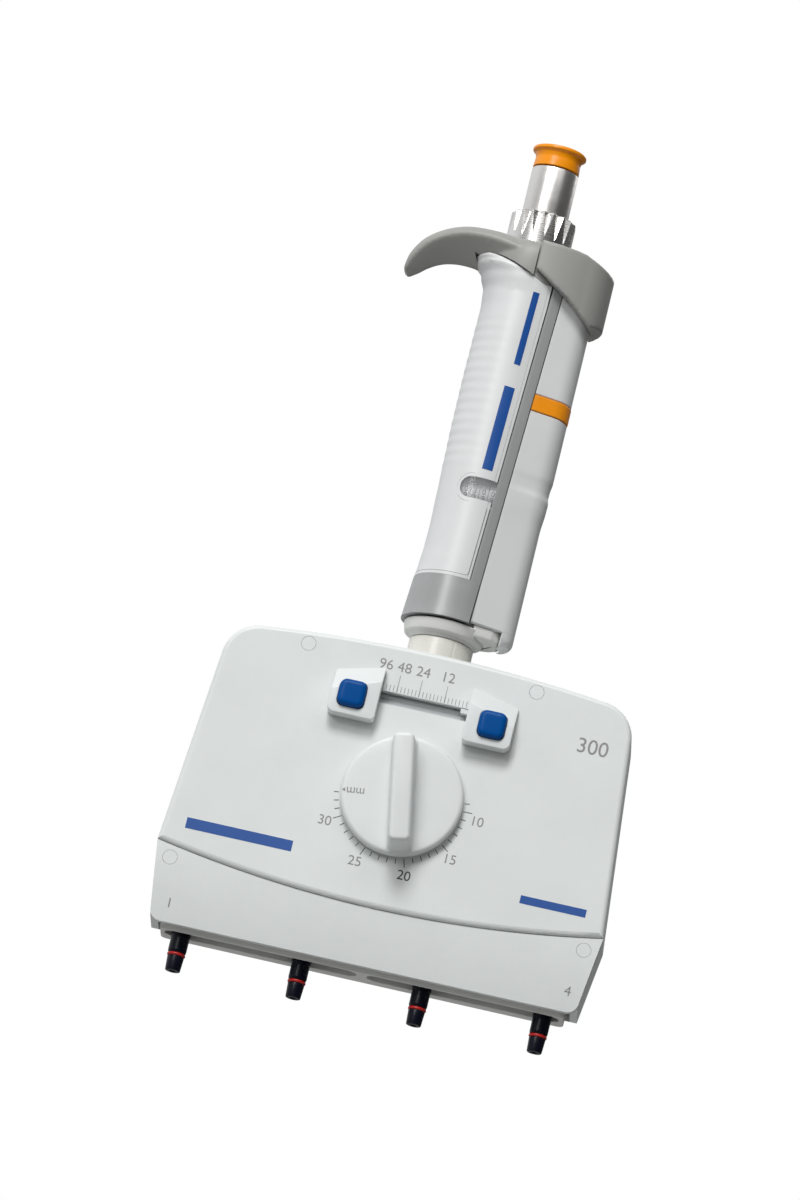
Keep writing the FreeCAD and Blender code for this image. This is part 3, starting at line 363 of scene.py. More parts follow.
def moulded(name, colour, roughness, grain=2600.0, depth=0.006, corner_shade=0.35, edge_sheen=0.4, ior=1.5):
    """A moulded plastic: toned in patches, with painted shade in corners and a painted sheen on its edges."""
    material, tree, principled = empty_material(name)
    grain_node = place_effect(tree, "grain", Grain_scale=grain)
    corner_shade_node = place_effect(tree, "corner_shade", Amount=corner_shade)
    edge_sheen_node = place_effect(tree, "edge_sheen", Amount=edge_sheen)
    toned = tint(tree, grain_node.outputs["Patches"], shaded(colour, 0.965), colour)
    # Painted sheen: convex edges are lightened a little towards white, where hands polish them.
    lit = tint(tree, edge_sheen_node.outputs["Painted sheen"], toned, tuple(c + (1.0 - c) * 0.12 for c in colour))
    # Painted shade: narrow gaps and corners, found by occlusion, are darkened to under half the colour.
    corner_shaded = tint(tree, corner_shade_node.outputs["Painted shade"], lit, shaded(colour, 0.45))
    tree.links.new(corner_shaded, principled.inputs["Base Color"])
    shine = spread(tree, grain_node.outputs["Shine"], 0.42, 1.0, roughness * 0.82, roughness * 1.12)
    tree.links.new(shine, principled.inputs["Roughness"])
    principled.inputs["IOR"].default_value = ior
    bump(tree, principled, grain_node.outputs["Height"], depth)
    return material


# %% The pipette's plastics
SATIN_WHITE = moulded("satin_white_housing", (0.735, 0.762, 0.752), 0.42, grain=2200.0, depth=0.008)
GRIP_WHITE = moulded("soft_white_grip", (0.745, 0.75, 0.75), 0.40, grain=3000.0, depth=0.005)
DIAL_WHITE = moulded("dial_white", (0.745, 0.77, 0.76), 0.38, grain=2400.0, depth=0.006)
SILVER_GREY = moulded("silver_grey_frame", (0.34, 0.345, 0.345), 0.33, grain=4200.0, depth=0.004, ior=1.6)
HOOK_GREY = moulded("warm_grey_hook", (0.325, 0.322, 0.305), 0.47, grain=2000.0, depth=0.012)
BUTTON_BLUE = moulded("button_blue", (0.0, 0.072, 0.29), 0.3, grain=2600.0, depth=0.004,
                      corner_shade=0.1, edge_sheen=0.04, ior=1.2)
SIGNAL_ORANGE = moulded("signal_orange", (1.0, 0.33, 0.0), 0.33, grain=2600.0, depth=0.004, edge_sheen=0.2)
NECK_CREAM = moulded("neck_cream", (0.74, 0.725, 0.665), 0.30, grain=1800.0, depth=0.003)
EJECTOR_WHITE = moulded("ejector_white", (0.745, 0.745, 0.72), 0.36, grain=2200.0, depth=0.005)
GEAR_NATURAL = moulded("gear_natural", (0.62, 0.61, 0.55), 0.42, grain=1500.0, depth=0.006)
CURSOR_PALE = moulded("cursor_pale", (0.70, 0.72, 0.73), 0.25, grain=2600.0, depth=0.003)
DIGIT_WHITE = moulded("digit_wheel_white", (0.70, 0.71, 0.72), 0.45, grain=3200.0, depth=0.003)
CONE_NAVY = moulded("cone_navy_black", (0.003, 0.0038, 0.011), 0.3, grain=2600.0, depth=0.003,
                    corner_shade=0.1, edge_sheen=0.03, ior=1.36)
SEAL_RED = moulded("seal_red", (0.55, 0.012, 0.008), 0.36, grain=3800.0, depth=0.004, edge_sheen=0.2)
WIPER_BLACK = moulded("wiper_black", (0.012, 0.012, 0.013), 0.55, grain=1600.0, depth=0.01, edge_sheen=0.1)
HOSE_MILKY = moulded("hose_milky", (0.66, 0.69, 0.69), 0.28, grain=1200.0, depth=0.003)
PRINT_GREY = moulded("print_grey", (0.27, 0.265, 0.26), 0.5, grain=3600.0, depth=0.002, edge_sheen=0.0)
PRINT_DARK = moulded("print_dark", (0.035, 0.035, 0.037), 0.5, grain=3600.0, depth=0.002, edge_sheen=0.0)
PRINT_BLUE = moulded("print_blue", (0.0, 0.07, 0.32), 0.42, grain=3600.0, depth=0.002, edge_sheen=0.0)
print("plastics", len([m for m in bpy.data.materials if m.use_nodes]))

# %% [markdown]
# ## Metals and clear parts
# The plunger's sleeve is turned steel, so its shine runs round it in hair-fine rings. The chassis
# is blasted aluminium with no direction. The cylinders and the window pane are clear. The glass of
# the cylinders is the shader's own transmission, kept plain, and the thin pane lets light through
# by its alpha.

# %% The pipette's metals


def turned_metal(name, colour, roughness, depth=0.0012):
    """Steel from a lathe, with rings round Z and painted shade in its corners."""
    material, tree, principled = empty_material(name)
    lines = place_effect(tree, "turned")
    corner_shade_node = place_effect(tree, "corner_shade", Amount=0.25)
    toned = tint(tree, lines.outputs["Shine"], shaded(colour, 0.9), colour)
    # Painted shade: narrow gaps and corners, found by occlusion, are darkened towards a third of the colour.
    corner_shaded = tint(tree, corner_shade_node.outputs["Painted shade"], toned, shaded(colour, 0.3))
    tree.links.new(corner_shaded, principled.inputs["Base Color"])
    shine = spread(tree, lines.outputs["Shine"], 0.48, 1.0, roughness * 0.75, roughness * 1.2)
    tree.links.new(shine, principled.inputs["Roughness"])
    principled.inputs["Metallic"].default_value = 1.0
    bump(tree, principled, lines.outputs["Height"], depth)
    return material


def blasted_metal(name, colour, roughness, grain=1800.0):
    """Metal with an even grain, from bead blasting or drawing."""
    material, tree, principled = empty_material(name)
    grain_node = place_effect(tree, "grain", Grain_scale=grain)
    toned = tint(tree, grain_node.outputs["Patches"], shaded(colour, 0.88), colour)
    tree.links.new(toned, principled.inputs["Base Color"])
    shine = spread(tree, grain_node.outputs["Shine"], 0.42, 1.0, roughness * 0.8, roughness * 1.2)
    tree.links.new(shine, principled.inputs["Roughness"])
    principled.inputs["Metallic"].default_value = 1.0
    bump(tree, principled, grain_node.outputs["Height"], 0.008)
    return material


SLEEVE_STEEL = turned_metal("turned_sleeve_steel", (0.82, 0.80, 0.775), 0.36, depth=0.0006)
RING_STEEL = turned_metal("fluted_ring_steel", (0.84, 0.825, 0.80), 0.27, depth=0.0003)
ROD_STEEL = turned_metal("ground_rod_steel", (0.60, 0.60, 0.61), 0.22)
SCREW_STEEL = blasted_metal("screw_steel", (0.55, 0.55, 0.56), 0.32)
SPRING_STEEL = blasted_metal("spring_wire", (0.52, 0.52, 0.53), 0.28, grain=2600.0)
CHASSIS_ALUMINIUM = blasted_metal("chassis_aluminium", (0.62, 0.63, 0.64), 0.48)

# %% The clear parts


def clear_part(name, colour, roughness, ior, thin=False):
    """Clear plastic or glass with a faint, uneven polish; a thin pane is see-through by its alpha."""
    material, tree, principled = empty_material(name)
    grain_node = place_effect(tree, "grain", Grain_scale=260.0)
    toned = tint(tree, grain_node.outputs["Patches"], shaded(colour, 0.97), colour)
    tree.links.new(toned, principled.inputs["Base Color"])
    polish = spread(tree, grain_node.outputs["Shine"], 0.42, 1.0, roughness * 0.6, roughness * 1.4)
    tree.links.new(polish, principled.inputs["Roughness"])
    principled.inputs["IOR"].default_value = ior
    if thin:
        principled.inputs["Alpha"].default_value = 0.16
    else:
        principled.inputs["Transmission Weight"].default_value = 1.0
    return material


PANE_CLEAR = clear_part("window_pane_clear", (0.95, 0.96, 0.97), 0.06, 1.45, thin=True)
CYLINDER_GLASS = clear_part("cylinder_glass", (0.93, 0.96, 0.96), 0.03, 1.47)
print("materials", len(bpy.data.materials))

# %% [markdown]
# ## Dressing the CAD parts
# Flat walls, bores, gears and racks are already right in the frame: only the maker's finish is
# missing. Each CAD node gets the material of what it is made of. The ones that are rebuilt further
# down are hidden then, but they are dressed all the same, so that none is ever a bare stand-in.

# %% Finish of every CAD node
FINISHES = {
    "casing": SATIN_WHITE,
    "steel": SCREW_STEEL,
    "chassis": CHASSIS_ALUMINIUM,
    "cylinder": CYLINDER_GLASS,
    "black_rubber": WIPER_BLACK,
    "hose": HOSE_MILKY,
    "neck_plastic": NECK_CREAM,
    "dial_plastic": DIAL_WHITE,
    "gear_plastic": GEAR_NATURAL,
    "cursor_plastic": CURSOR_PALE,
    "blue_plastic": BUTTON_BLUE,
    "spring_steel": SPRING_STEEL,
    "piston": ROD_STEEL,
    "ejector_white": EJECTOR_WHITE,
    "silver_plastic": SILVER_GREY,
    "grip_white": GRIP_WHITE,
    "clear_lens": PANE_CLEAR,
    "hook_grey": HOOK_GREY,
    "orange_plastic": SIGNAL_ORANGE,
    "brushed_sleeve": SLEEVE_STEEL,
    "fluted_steel": RING_STEEL,
    "cone_black": CONE_NAVY,
    "red_seal": SEAL_RED,
    "digit_white": DIGIT_WHITE,
}
for part in frame["record"]["subparts"]:
    node = frame["nodes"][part["node"]]
    for material_slot in node.material_slots:
        material_slot.link = "OBJECT"
        material_slot.material = FINISHES[part["material_slot"]]

# %% [markdown]
# ## Ways to make a piece
# Most pieces here are one of four kinds. A lathe turns a profile round an axis. A moulded block
# stacks an outline in layers, each moved in a little, so its rim is rounded. A skin joins rings of
# points into a tube. A melt fuses rough solids by voxels and smooths them, which gives the soft
# fillets of a hand-shaped hook. Each helper takes millimetres and hands back a finished piece.

# %% Outline helpers


def soft_corners(points, radius, steps=5):
    """A closed outline with its corners rounded; radius is one number, or one for each corner."""
    rounded = []
    count = len(points)
    for i, point in enumerate(points):
        r = radius[i] if isinstance(radius, (list, tuple)) else radius
        corner = Vector(point)
        to_last = Vector(points[i - 1]) - corner
        to_next = Vector(points[(i + 1) % count]) - corner
        half = to_last.angle(to_next) / 2
        if r <= 0 or half > math.pi / 2 - 0.02:
            rounded.append(corner)
            continue
        reach = min(r / math.tan(half), 0.48 * to_last.length, 0.48 * to_next.length)
        r = reach * math.tan(half)
        middle = (to_last.normalized() + to_next.normalized()).normalized()
        centre = corner + middle * (r / math.sin(half))
        start = corner + to_last.normalized() * reach - centre
        turn = start.angle_signed(corner + to_next.normalized() * reach - centre)
        for k in range(steps + 1):
            a = math.atan2(start.y, start.x) - turn * k / steps
            rounded.append(centre + Vector((math.cos(a), math.sin(a))) * r)
    return rounded


def moved_in(outline, inset):
    """A closed outline moved inwards; the outline runs anticlockwise."""
    moved = []
    count = len(outline)
    for i, point in enumerate(outline):
        before = (point - outline[i - 1]).normalized()
        after = (outline[(i + 1) % count] - point).normalized()
        normal = Vector((-before.y - after.y, before.x + after.x)).normalized()
        share = max(0.5, normal.dot(Vector((-after.y, after.x))))
        moved.append(point + normal * inset / share)
    return moved


def rounded_rim(low, high, radius_low, radius_high, steps=4):
    """(height, inset) layers of a block whose two rims are rounded."""
    layers = [(low + radius_low * (1 - math.cos(math.pi / 2 * k / steps)),
               radius_low * (1 - math.sin(math.pi / 2 * k / steps))) for k in range(steps + 1)]
    layers += [(high - radius_high * (1 - math.sin(math.pi / 2 * k / steps)),
                radius_high * (1 - math.cos(math.pi / 2 * k / steps))) for k in range(steps + 1)]
    return layers


def smooth_line(points, steps=8):
    """A curve through points of any size, as a Catmull-Rom line."""
    made = []
    for i in range(len(points) - 1):
        p0 = points[max(i - 1, 0)]
        p1, p2 = points[i], points[i + 1]
        p3 = points[min(i + 2, len(points) - 1)]
        for k in range(steps):
            t = k / steps
            made.append(tuple(
                0.5 * (2 * b + (c - a) * t + (2 * a - 5 * b + 4 * c - d) * t * t
                       + (3 * b - a - 3 * c + d) * t ** 3)
                for a, b, c, d in zip(p0, p1, p2, p3)
            ))
    return made + [tuple(points[-1])]


def along(table, place):
    """The value at a place in a table of (place, value) pairs, smoothly between them."""
    if place <= table[0][0]:
        return table[0][1]
    for (a, low), (b, high) in zip(table, table[1:]):
        if place <= b:
            t = (place - a) / (b - a)
            return low + (high - low) * t * t * (3 - 2 * t)
    return table[-1][1]


# %% Piece helpers


def facing_front(x, z, y):
    """Puts a flat drawing on a face that looks along -Y: u to the right, v up, height out of it."""
    return lambda u, v, h: (x + u, y - h, z + v)


def standing(x=0.0):
    """Puts a drawing flat on the ground plane, its middle at x, with its height upwards."""
    return lambda u, v, h: (x + u, v, h)


def raw_object(name, points, faces):
    """A mesh object from millimetre points, its faces all turned outwards."""
    mesh = bpy.data.meshes.new(name)
    mesh.from_pydata([Vector(p) * MM for p in points], [], faces)
    maker = bmesh.new()
    maker.from_mesh(mesh)
    bmesh.ops.remove_doubles(maker, verts=maker.verts, dist=1e-7)
    bmesh.ops.recalc_face_normals(maker, faces=maker.faces)
    maker.to_mesh(mesh)
    maker.free()
    obj = bpy.data.objects.new(name, mesh)
    scene.collection.objects.link(obj)
    return obj


def settle(obj):
    """Put the result of an object's modifiers into its mesh."""
    graph = bpy.context.evaluated_depsgraph_get()
    mesh = bpy.data.meshes.new_from_object(obj.evaluated_get(graph))
    obj.modifiers.clear()
    obj.data = mesh
    return obj


def cut_away(obj, *tools):
    """Take other solids out of a piece, and throw them away."""
    for tool in tools:
        cut = obj.modifiers.new("cut", "BOOLEAN")
        cut.operation = "DIFFERENCE"
        cut.object = tool
    settle(obj)
    for tool in tools:
        bpy.data.objects.remove(tool)
    return obj


def finish_piece(obj, body, material, replaces=(), sharp=38.0):
    """Shade, dress and hang a piece on its body."""
    mesh = obj.data
    mesh.polygons.foreach_set("use_smooth", [True] * len(mesh.polygons))
    mesh.set_sharp_from_angle(angle=math.radians(sharp))
    mesh.materials.clear()
    mesh.materials.append(material)
    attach(obj, body)
    if replaces:
        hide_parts(*replaces)
    print(f"{obj.name:24s} {len(mesh.polygons):6d} faces on {body}")
    return obj


def rings_object(name, rings, closed_ends=True):
    """Join rings of equally many points, one after the other; the ends are capped or left open."""
    points = [p for ring in rings for p in ring]
    n = len(rings[0])
    faces = []
    for r in range(len(rings) - 1):
        for k in range(n):
            a, b = r * n + k, r * n + (k + 1) % n
            faces.append((a, b, b + n, a + n))
    if closed_ends:
        faces.append(tuple(range(n)))
        faces.append(tuple(range((len(rings) - 1) * n, len(rings) * n)))
    return raw_object(name, points, faces)


def lathe(name, profile, place=standing(), steps=96):
    """Turn a closed profile of (radius, height) points round the axis of a drawing."""
    rings = []
    for k in range(steps):
        a = 2 * math.pi * k / steps
        rings.append([place(r * math.cos(a), r * math.sin(a), h) for r, h in profile])
    rings.append(rings[0])
    return rings_object(name, rings, closed_ends=False)


def moulded_block(name, outline, layers, place):
    """Stack an outline in (height, inset) layers."""
    rings = [[place(p.x, p.y, height) for p in moved_in(outline, inset)] for height, inset in layers]
    return rings_object(name, rings)


def melt(obj, voxel, passes):
    """Fuse the solids in a mesh by voxels and smooth the result, for soft moulded edges."""
    fuse = obj.modifiers.new("fuse", "REMESH")
    fuse.mode = "VOXEL"
    fuse.voxel_size = voxel * MM
    soften = obj.modifiers.new("soften", "SMOOTH")
    soften.factor = 0.5
    soften.iterations = passes
    return settle(obj)


def joined(name, *objects):
    """One object that holds the meshes of several."""
    maker = bmesh.new()
    for obj in objects:
        maker.from_mesh(obj.data)
        bpy.data.objects.remove(obj)
    mesh = bpy.data.meshes.new(name)
    maker.to_mesh(mesh)
    maker.free()
    made = bpy.data.objects.new(name, mesh)
    scene.collection.objects.link(made)
    return made


def plate(name, outlines, low, high, rim):
    """A flat plate with holes: the first outline is its edge, the others are cut out of it."""
    curve = bpy.data.curves.new(name, "CURVE")
    curve.dimensions = "2D"
    curve.fill_mode = "BOTH"
    curve.extrude = ((high - low) / 2 - rim) * MM
    curve.bevel_depth = rim * MM
    curve.bevel_resolution = 2
    curve.offset = -rim * MM
    for outline in outlines:
        spline = curve.splines.new("POLY")
        spline.points.add(len(outline) - 1)
        for point, place in zip(spline.points, outline):
            point.co = (place[0] * MM, place[1] * MM, 0.0, 1.0)
        spline.use_cyclic_u = True
    drawn = bpy.data.objects.new(name, curve)
    scene.collection.objects.link(drawn)
    graph = bpy.context.evaluated_depsgraph_get()
    mesh = bpy.data.meshes.new_from_object(drawn.evaluated_get(graph))
    bpy.data.objects.remove(drawn)
    mesh.transform(Matrix.Translation((0, 0, (low + high) / 2 * MM)))
    made = bpy.data.objects.new(name, mesh)
    scene.collection.objects.link(made)
    return made


print("helpers ready")

# %% [markdown]
# ## Tip cones and their seals
# A tip is pushed on each cone, so the cone is a slim taper of glossy navy-black plastic with a
# groove for a red rubber ring. It is a lathe job: one profile with softened corners, turned round
# four axes. The ring is a lathe of a nearly round section, a little proud of the taper.

# %% Cones and seals
CONE_TOP = box_mm("tip_cone_1")[1].z
seal_low, seal_high = box_mm("cone_seal_1")
SEAL_Z = (seal_low.z + seal_high.z) / 2
SEAL_R = (seal_high.x - seal_low.x) / 2
BORE_R = 0.9
cone_outline = soft_corners(
    [
        (BORE_R, 0.0), (2.03, 0.0), (2.27, SEAL_Z - 0.5), (1.65, SEAL_Z - 0.5), (1.65, SEAL_Z + 0.5),
        (2.34, SEAL_Z + 0.5), (2.5, 5.6), (2.5, 9.2), (2.68, 10.2), (2.7, 17.0), (2.3, 17.0),
        (2.3, CONE_TOP), (BORE_R, CONE_TOP),
    ],
    [0.15, 0.3, 0.12, 0, 0, 0.12, 1.0, 2.0, 1.0, 0.2, 0, 0.2, 0],
    4,
)
seal_outline = soft_corners([(1.68, SEAL_Z - 0.42), (SEAL_R, SEAL_Z - 0.42), (SEAL_R, SEAL_Z + 0.42),
                             (1.68, SEAL_Z + 0.42)], 0.38, 6)
for n in range(1, 5):
    low, high = box_mm(f"tip_cone_{n}")
    place = standing((low.x + high.x) / 2)
    cone = lathe(f"navy_cone_{n}", cone_outline, place, 72)
    finish_piece(cone, f"channel_{n}", CONE_NAVY, [f"tip_cone_{n}"])
    ring = lathe(f"red_ring_{n}", seal_outline, place, 72)
    finish_piece(ring, f"channel_{n}", SEAL_RED, [f"cone_seal_{n}"])

# %% [markdown]
# ## Ejector bar
# The bar that pushes the tips off is a long flat moulding with two slots for the cones. A filled 2D
# curve makes such a plate in one go: one closed outline, two closed holes, and a small bevel round
# them all. Its lower front edge is then sloped by moving the vertices that lie outside the slope.

# %% Ejector bar
bar_low, bar_high = box_mm("ejector_bar")
SLOT_HALF_WIDE = 3.0
SLOT_INNER, SLOT_OUTER = 1.4, 53.9
BAR_SLOPE, BAR_SLOPE_HIGH = 1.5, 2.4


def long_slot(x0, x1, half, steps=14):
    """A slot with round ends."""
    ends = []
    for centre, start in ((x1 - half, -math.pi / 2), (x0 + half, math.pi / 2)):
        for k in range(steps + 1):
            a = start + math.pi * k / steps
            ends.append((centre + half * math.cos(a), half * math.sin(a)))
    return ends


bar_outline = soft_corners(
    [(bar_low.x, bar_low.y), (bar_high.x, bar_low.y), (bar_high.x, bar_high.y), (bar_low.x, bar_high.y)],
    2.0, 8,
)
bar_slots = [long_slot(x0, x1, SLOT_HALF_WIDE)
             for x0, x1 in ((SLOT_INNER, SLOT_OUTER), (-SLOT_OUTER, -SLOT_INNER))]
tip_bar = plate("tip_pusher_bar", [bar_outline] + bar_slots, bar_low.z, bar_high.z, 0.25)
for vertex in tip_bar.data.vertices:
    x, y, z = vertex.co / MM
    share = min(1.0, max(0.0, (bar_low.z + BAR_SLOPE_HIGH - z) / BAR_SLOPE_HIGH))
    vertex.co.y = max(y, bar_low.y + BAR_SLOPE * share) * MM
finish_piece(tip_bar, "ejector_lower", EJECTOR_WHITE, ["ejector_bar"])

# %% [markdown]
# ## Neck
# The handle turns on a cream tube that stands out of the housing. The ejector's sleeve slides round
# it and meets the white pressure ring above. The sleeve shows a fine moulding seam, a shallow
# groove, which is cut as one narrow dip in the lathe's rings.

# %% Neck sleeve with its seam
sleeve_low, sleeve_high = box_mm("ejector_sleeve")
SLEEVE_R = sleeve_high.x
SLEEVE_BORE = 7.25
SEAM_TURN = math.radians(-64)
SEAM_HALF_WIDE, SEAM_DEEP = 0.18, 0.09
sleeve_profile = soft_corners(
    [(SLEEVE_BORE, sleeve_low.z), (SLEEVE_R, sleeve_low.z),
     (SLEEVE_R, sleeve_high.z), (SLEEVE_BORE, sleeve_high.z)],
    [0, 0.2, 0.5, 0.2],
)
sleeve = lathe("neck_sleeve", sleeve_profile, standing(), 240)
for vertex in sleeve.data.vertices:
    x, y, z = vertex.co / MM
    apart = abs(math.atan2(y, x) - SEAM_TURN) * SLEEVE_R
    if math.hypot(x, y) > SLEEVE_R - 0.3 and apart < SEAM_HALF_WIDE:
        vertex.co.xy *= 1 - SEAM_DEEP / SLEEVE_R
finish_piece(sleeve, "ejector_lower", NECK_CREAM, ["ejector_sleeve"])

# %% [markdown]
# ## Dial
# The dial is a thin disc with a tall grip bar across it. The disc is a lathe about the front's
# normal. The bar has draft, so that it leaves its mould: its sides lean in by a few tenths and its
# ends by a little more. It is built from rounded rectangles that shrink towards the top, and the
# lowest ones flare out into a fillet on the disc.

# %% Dial disc and grip bar
dial_low, dial_high = box_mm("dial_knob")
DIAL_X = (dial_low.x + dial_high.x) / 2
DIAL_Z = (dial_low.z + dial_high.z) / 2
DIAL_R = dial_high.x
DIAL_BACK = dial_high.y
DISC_THICK = 3.0
GRIP_HIGH = DIAL_BACK - DISC_THICK - dial_low.y
GRIP_TURN = math.radians(10.3)
on_dial = facing_front(DIAL_X, DIAL_Z, DIAL_BACK)
disc_profile = [(0.0, 0.0), (DIAL_R - 0.35, 0.0), (DIAL_R, 0.35)]
disc_profile += [
    (DIAL_R - 1.1 + 1.1 * math.cos(a), DISC_THICK - 1.1 + 1.1 * math.sin(a))
    for a in [math.pi / 2 * k / 8 for k in range(9)]
]
disc_profile += [(DIAL_R - 3.2, DISC_THICK + 0.02), (0.0, DISC_THICK + 0.02)]
disc = lathe("dial_disc", disc_profile, on_dial, 160)
finish_piece(disc, "dial", DIAL_WHITE, ["dial_knob"])


def grip_ring(height, half_wide, half_long, corner):
    """One rounded rectangle of the grip bar, turned as the bar stands on the disc."""
    flat = soft_corners([(-half_wide, -half_long), (half_wide, -half_long), (half_wide, half_long),
                         (-half_wide, half_long)], corner, 6)
    c, s = math.cos(GRIP_TURN), math.sin(GRIP_TURN)
    return [on_dial(p.x * c - p.y * s, p.x * s + p.y * c, DISC_THICK + height) for p in flat]


GRIP_BASE = (3.2, 15.5)
GRIP_TOP = (2.85, 14.9)
grip_rings = [grip_ring(h, GRIP_BASE[0] + f, min(GRIP_BASE[1] + f, 15.95), 1.6) for h, f in
              ((-0.3, 0.75), (0.02, 0.7), (0.15, 0.36), (0.4, 0.12), (0.75, 0.0))]
for k in range(1, 9):
    share = k / 8
    height = 0.75 + (GRIP_HIGH - 1.0 - 0.75) * share
    half_wide = GRIP_BASE[0] + (GRIP_TOP[0] - GRIP_BASE[0]) * share
    half_long = GRIP_BASE[1] + (GRIP_TOP[1] - GRIP_BASE[1]) * share ** 1.6
    grip_rings.append(grip_ring(height, half_wide, half_long, 1.5))
for k in range(1, 7):
    a = math.pi / 2 * k / 6
    inset = 1.0 * (1 - math.cos(a))
    height = GRIP_HIGH - 1.0 + math.sin(a)
    grip_rings.append(grip_ring(height, GRIP_TOP[0] - inset, GRIP_TOP[1] - inset, 1.5 - inset))
grip_bar = rings_object("dial_grip_bar", grip_rings)
finish_piece(grip_bar, "dial", DIAL_WHITE, sharp=50.0)

# %% [markdown]
# ## Stops and their buttons
# Two sail-shaped stops run in the slot and limit the cones' travel. Each is a block whose front
# falls away in a ramp towards its outer top corner, so that a sleeve doesn't catch on it. The sharp
# solid is cut by a plane first; a bevel on every edge then gives the moulded softness. A blue
# button sits in its lower part.

# %% Stops
FRONT_Y = box_mm("front_cover")[0].y
BUTTON_SIDE = box_mm("button_left")[1].x - box_mm("button_left")[0].x
SLOT_LOW = 82.0
SAIL_INNER_TOP = 91.2
SAIL_OUTER_TOP = 88.4
SAIL_FALL_OUT = 0.22          # how fast the ramp falls away outwards
SAIL_FALL_UP = 0.62           # and upwards


def bevelled(obj, width):
    """Round the edges of a sharp-edged solid."""
    edge = obj.modifiers.new("edge", "BEVEL")
    edge.width = width * MM
    edge.segments = 4
    edge.limit_method = "ANGLE"
    edge.angle_limit = math.radians(25.0)
    edge.harden_normals = False
    return settle(obj)


def sliced(obj, point, normal):
    """Cut off what lies beyond a plane, and close the cut."""
    maker = bmesh.new()
    maker.from_mesh(obj.data)
    geometry = maker.verts[:] + maker.edges[:] + maker.faces[:]
    cut = bmesh.ops.bisect_plane(maker, geom=geometry, plane_co=Vector(point) * MM, plane_no=Vector(normal),
                                 clear_outer=True)
    edges = [g for g in cut["geom_cut"] if isinstance(g, bmesh.types.BMEdge)]
    bmesh.ops.contextual_create(maker, geom=edges)
    bmesh.ops.recalc_face_normals(maker, faces=maker.faces)
    maker.to_mesh(obj.data)
    maker.free()
    return obj


def stop_sail(side_name, side):
    """One stop; side is -1 for the left one and 1 for the right one."""
    low, high = box_mm(f"stop_{side_name}")
    inner, outer = (high.x, low.x) if side < 0 else (low.x, high.x)
    face = low.y
    corners = [(inner, low.z), (outer, low.z), (outer, SAIL_OUTER_TOP), (inner, SAIL_INNER_TOP)]
    corner_radii = [1.2, 1.8, 0.8, 0.5]
    if side < 0:
        corners.reverse()
        corner_radii.reverse()
    outline = soft_corners(corners, corner_radii, 6)
    block = moulded_block(
        f"stop_sail_{side_name}", outline, [(0.0, 0.0), (FRONT_Y - 0.2 - face, 0.0)],
        facing_front(0, 0, FRONT_Y - 0.2),
    )
    button_low, button_high = box_mm(f"button_{side_name}")
    middle = Vector(((button_low.x + button_high.x) / 2, (button_low.z + button_high.z) / 2))
    ramp = Vector((side * SAIL_FALL_OUT, -1.0, SAIL_FALL_UP)).normalized()
    bevelled(sliced(block, (inner + side * 3.5, face, button_high.z + 0.3), ramp), 0.5)
    half = BUTTON_SIDE / 2 + 0.18
    well = soft_corners([(-half, -half), (half, -half), (half, half), (-half, half)], 1.8, 6)
    hole = moulded_block("well", well, [(0.0, 0.0), (12.0, 0.0)],
                         facing_front(middle.x, middle.y, face + 3.3))
    cut_away(block, hole)
    finish_piece(block, f"stop_{side_name}", SATIN_WHITE, [f"stop_{side_name}"], sharp=42.0)
    neck_x = sorted((inner + side * 1.0, outer - side * 1.0))
    foot = [(neck_x[0], SLOT_LOW + 0.1), (neck_x[1], SLOT_LOW + 0.1), (neck_x[1], SLOT_LOW + 1.7),
            (neck_x[0], SLOT_LOW + 1.7)]
    neck = moulded_block(f"stop_neck_{side_name}", [Vector(p) for p in foot], [(0.0, 0.0), (2.3, 0.0)],
                         facing_front(0, 0, FRONT_Y + 2.0))
    lip = [(neck_x[0], SLOT_LOW - 2.5), (neck_x[1], SLOT_LOW - 2.5), (neck_x[1], SLOT_LOW + 1.7),
           (neck_x[0], SLOT_LOW + 1.7)]
    behind = moulded_block("lip", soft_corners(lip, 0.6, 3), rounded_rim(0.0, 0.75, 0.2, 0.2, 2),
                           facing_front(0, 0, FRONT_Y + 2.8))
    carrier = joined(f"stop_runner_{side_name}", neck, behind)
    finish_piece(carrier, f"stop_{side_name}", SATIN_WHITE)
    return middle


def blue_button(side_name, middle):
    """A blue button with a broad chamfer and a slightly domed face."""
    low, high = box_mm(f"button_{side_name}")
    half = BUTTON_SIDE / 2
    outline = soft_corners([(-half, -half), (half, -half), (half, half), (-half, half)], 1.9, 8)
    tall = high.y - low.y
    layers = [(0.0, 0.0), (tall - 0.85, 0.0), (tall - 0.72, 0.05), (tall - 0.26, 0.5), (tall - 0.13, 0.68),
              (tall - 0.05, 0.95), (tall - 0.01, 1.3), (tall, 1.6)]
    button = moulded_block(f"blue_button_{side_name}", outline, layers,
                           facing_front(middle.x, middle.y, high.y))
    finish_piece(button, f"button_{side_name}", BUTTON_BLUE, [f"button_{side_name}"])


for side_name, side in (("left", -1), ("right", 1)):
    blue_button(side_name, stop_sail(side_name, side))

# %% [markdown]
# ## Slot backing
# Through the slot between the stops one sees a pale strip, not the dark inside: a thin plastic
# shutter behind the panel keeps dust out. It is two slim plates between the stops' feet and the
# cursor's arm. The cursor's tab runs in the gap between them, and its tail closes that gap.

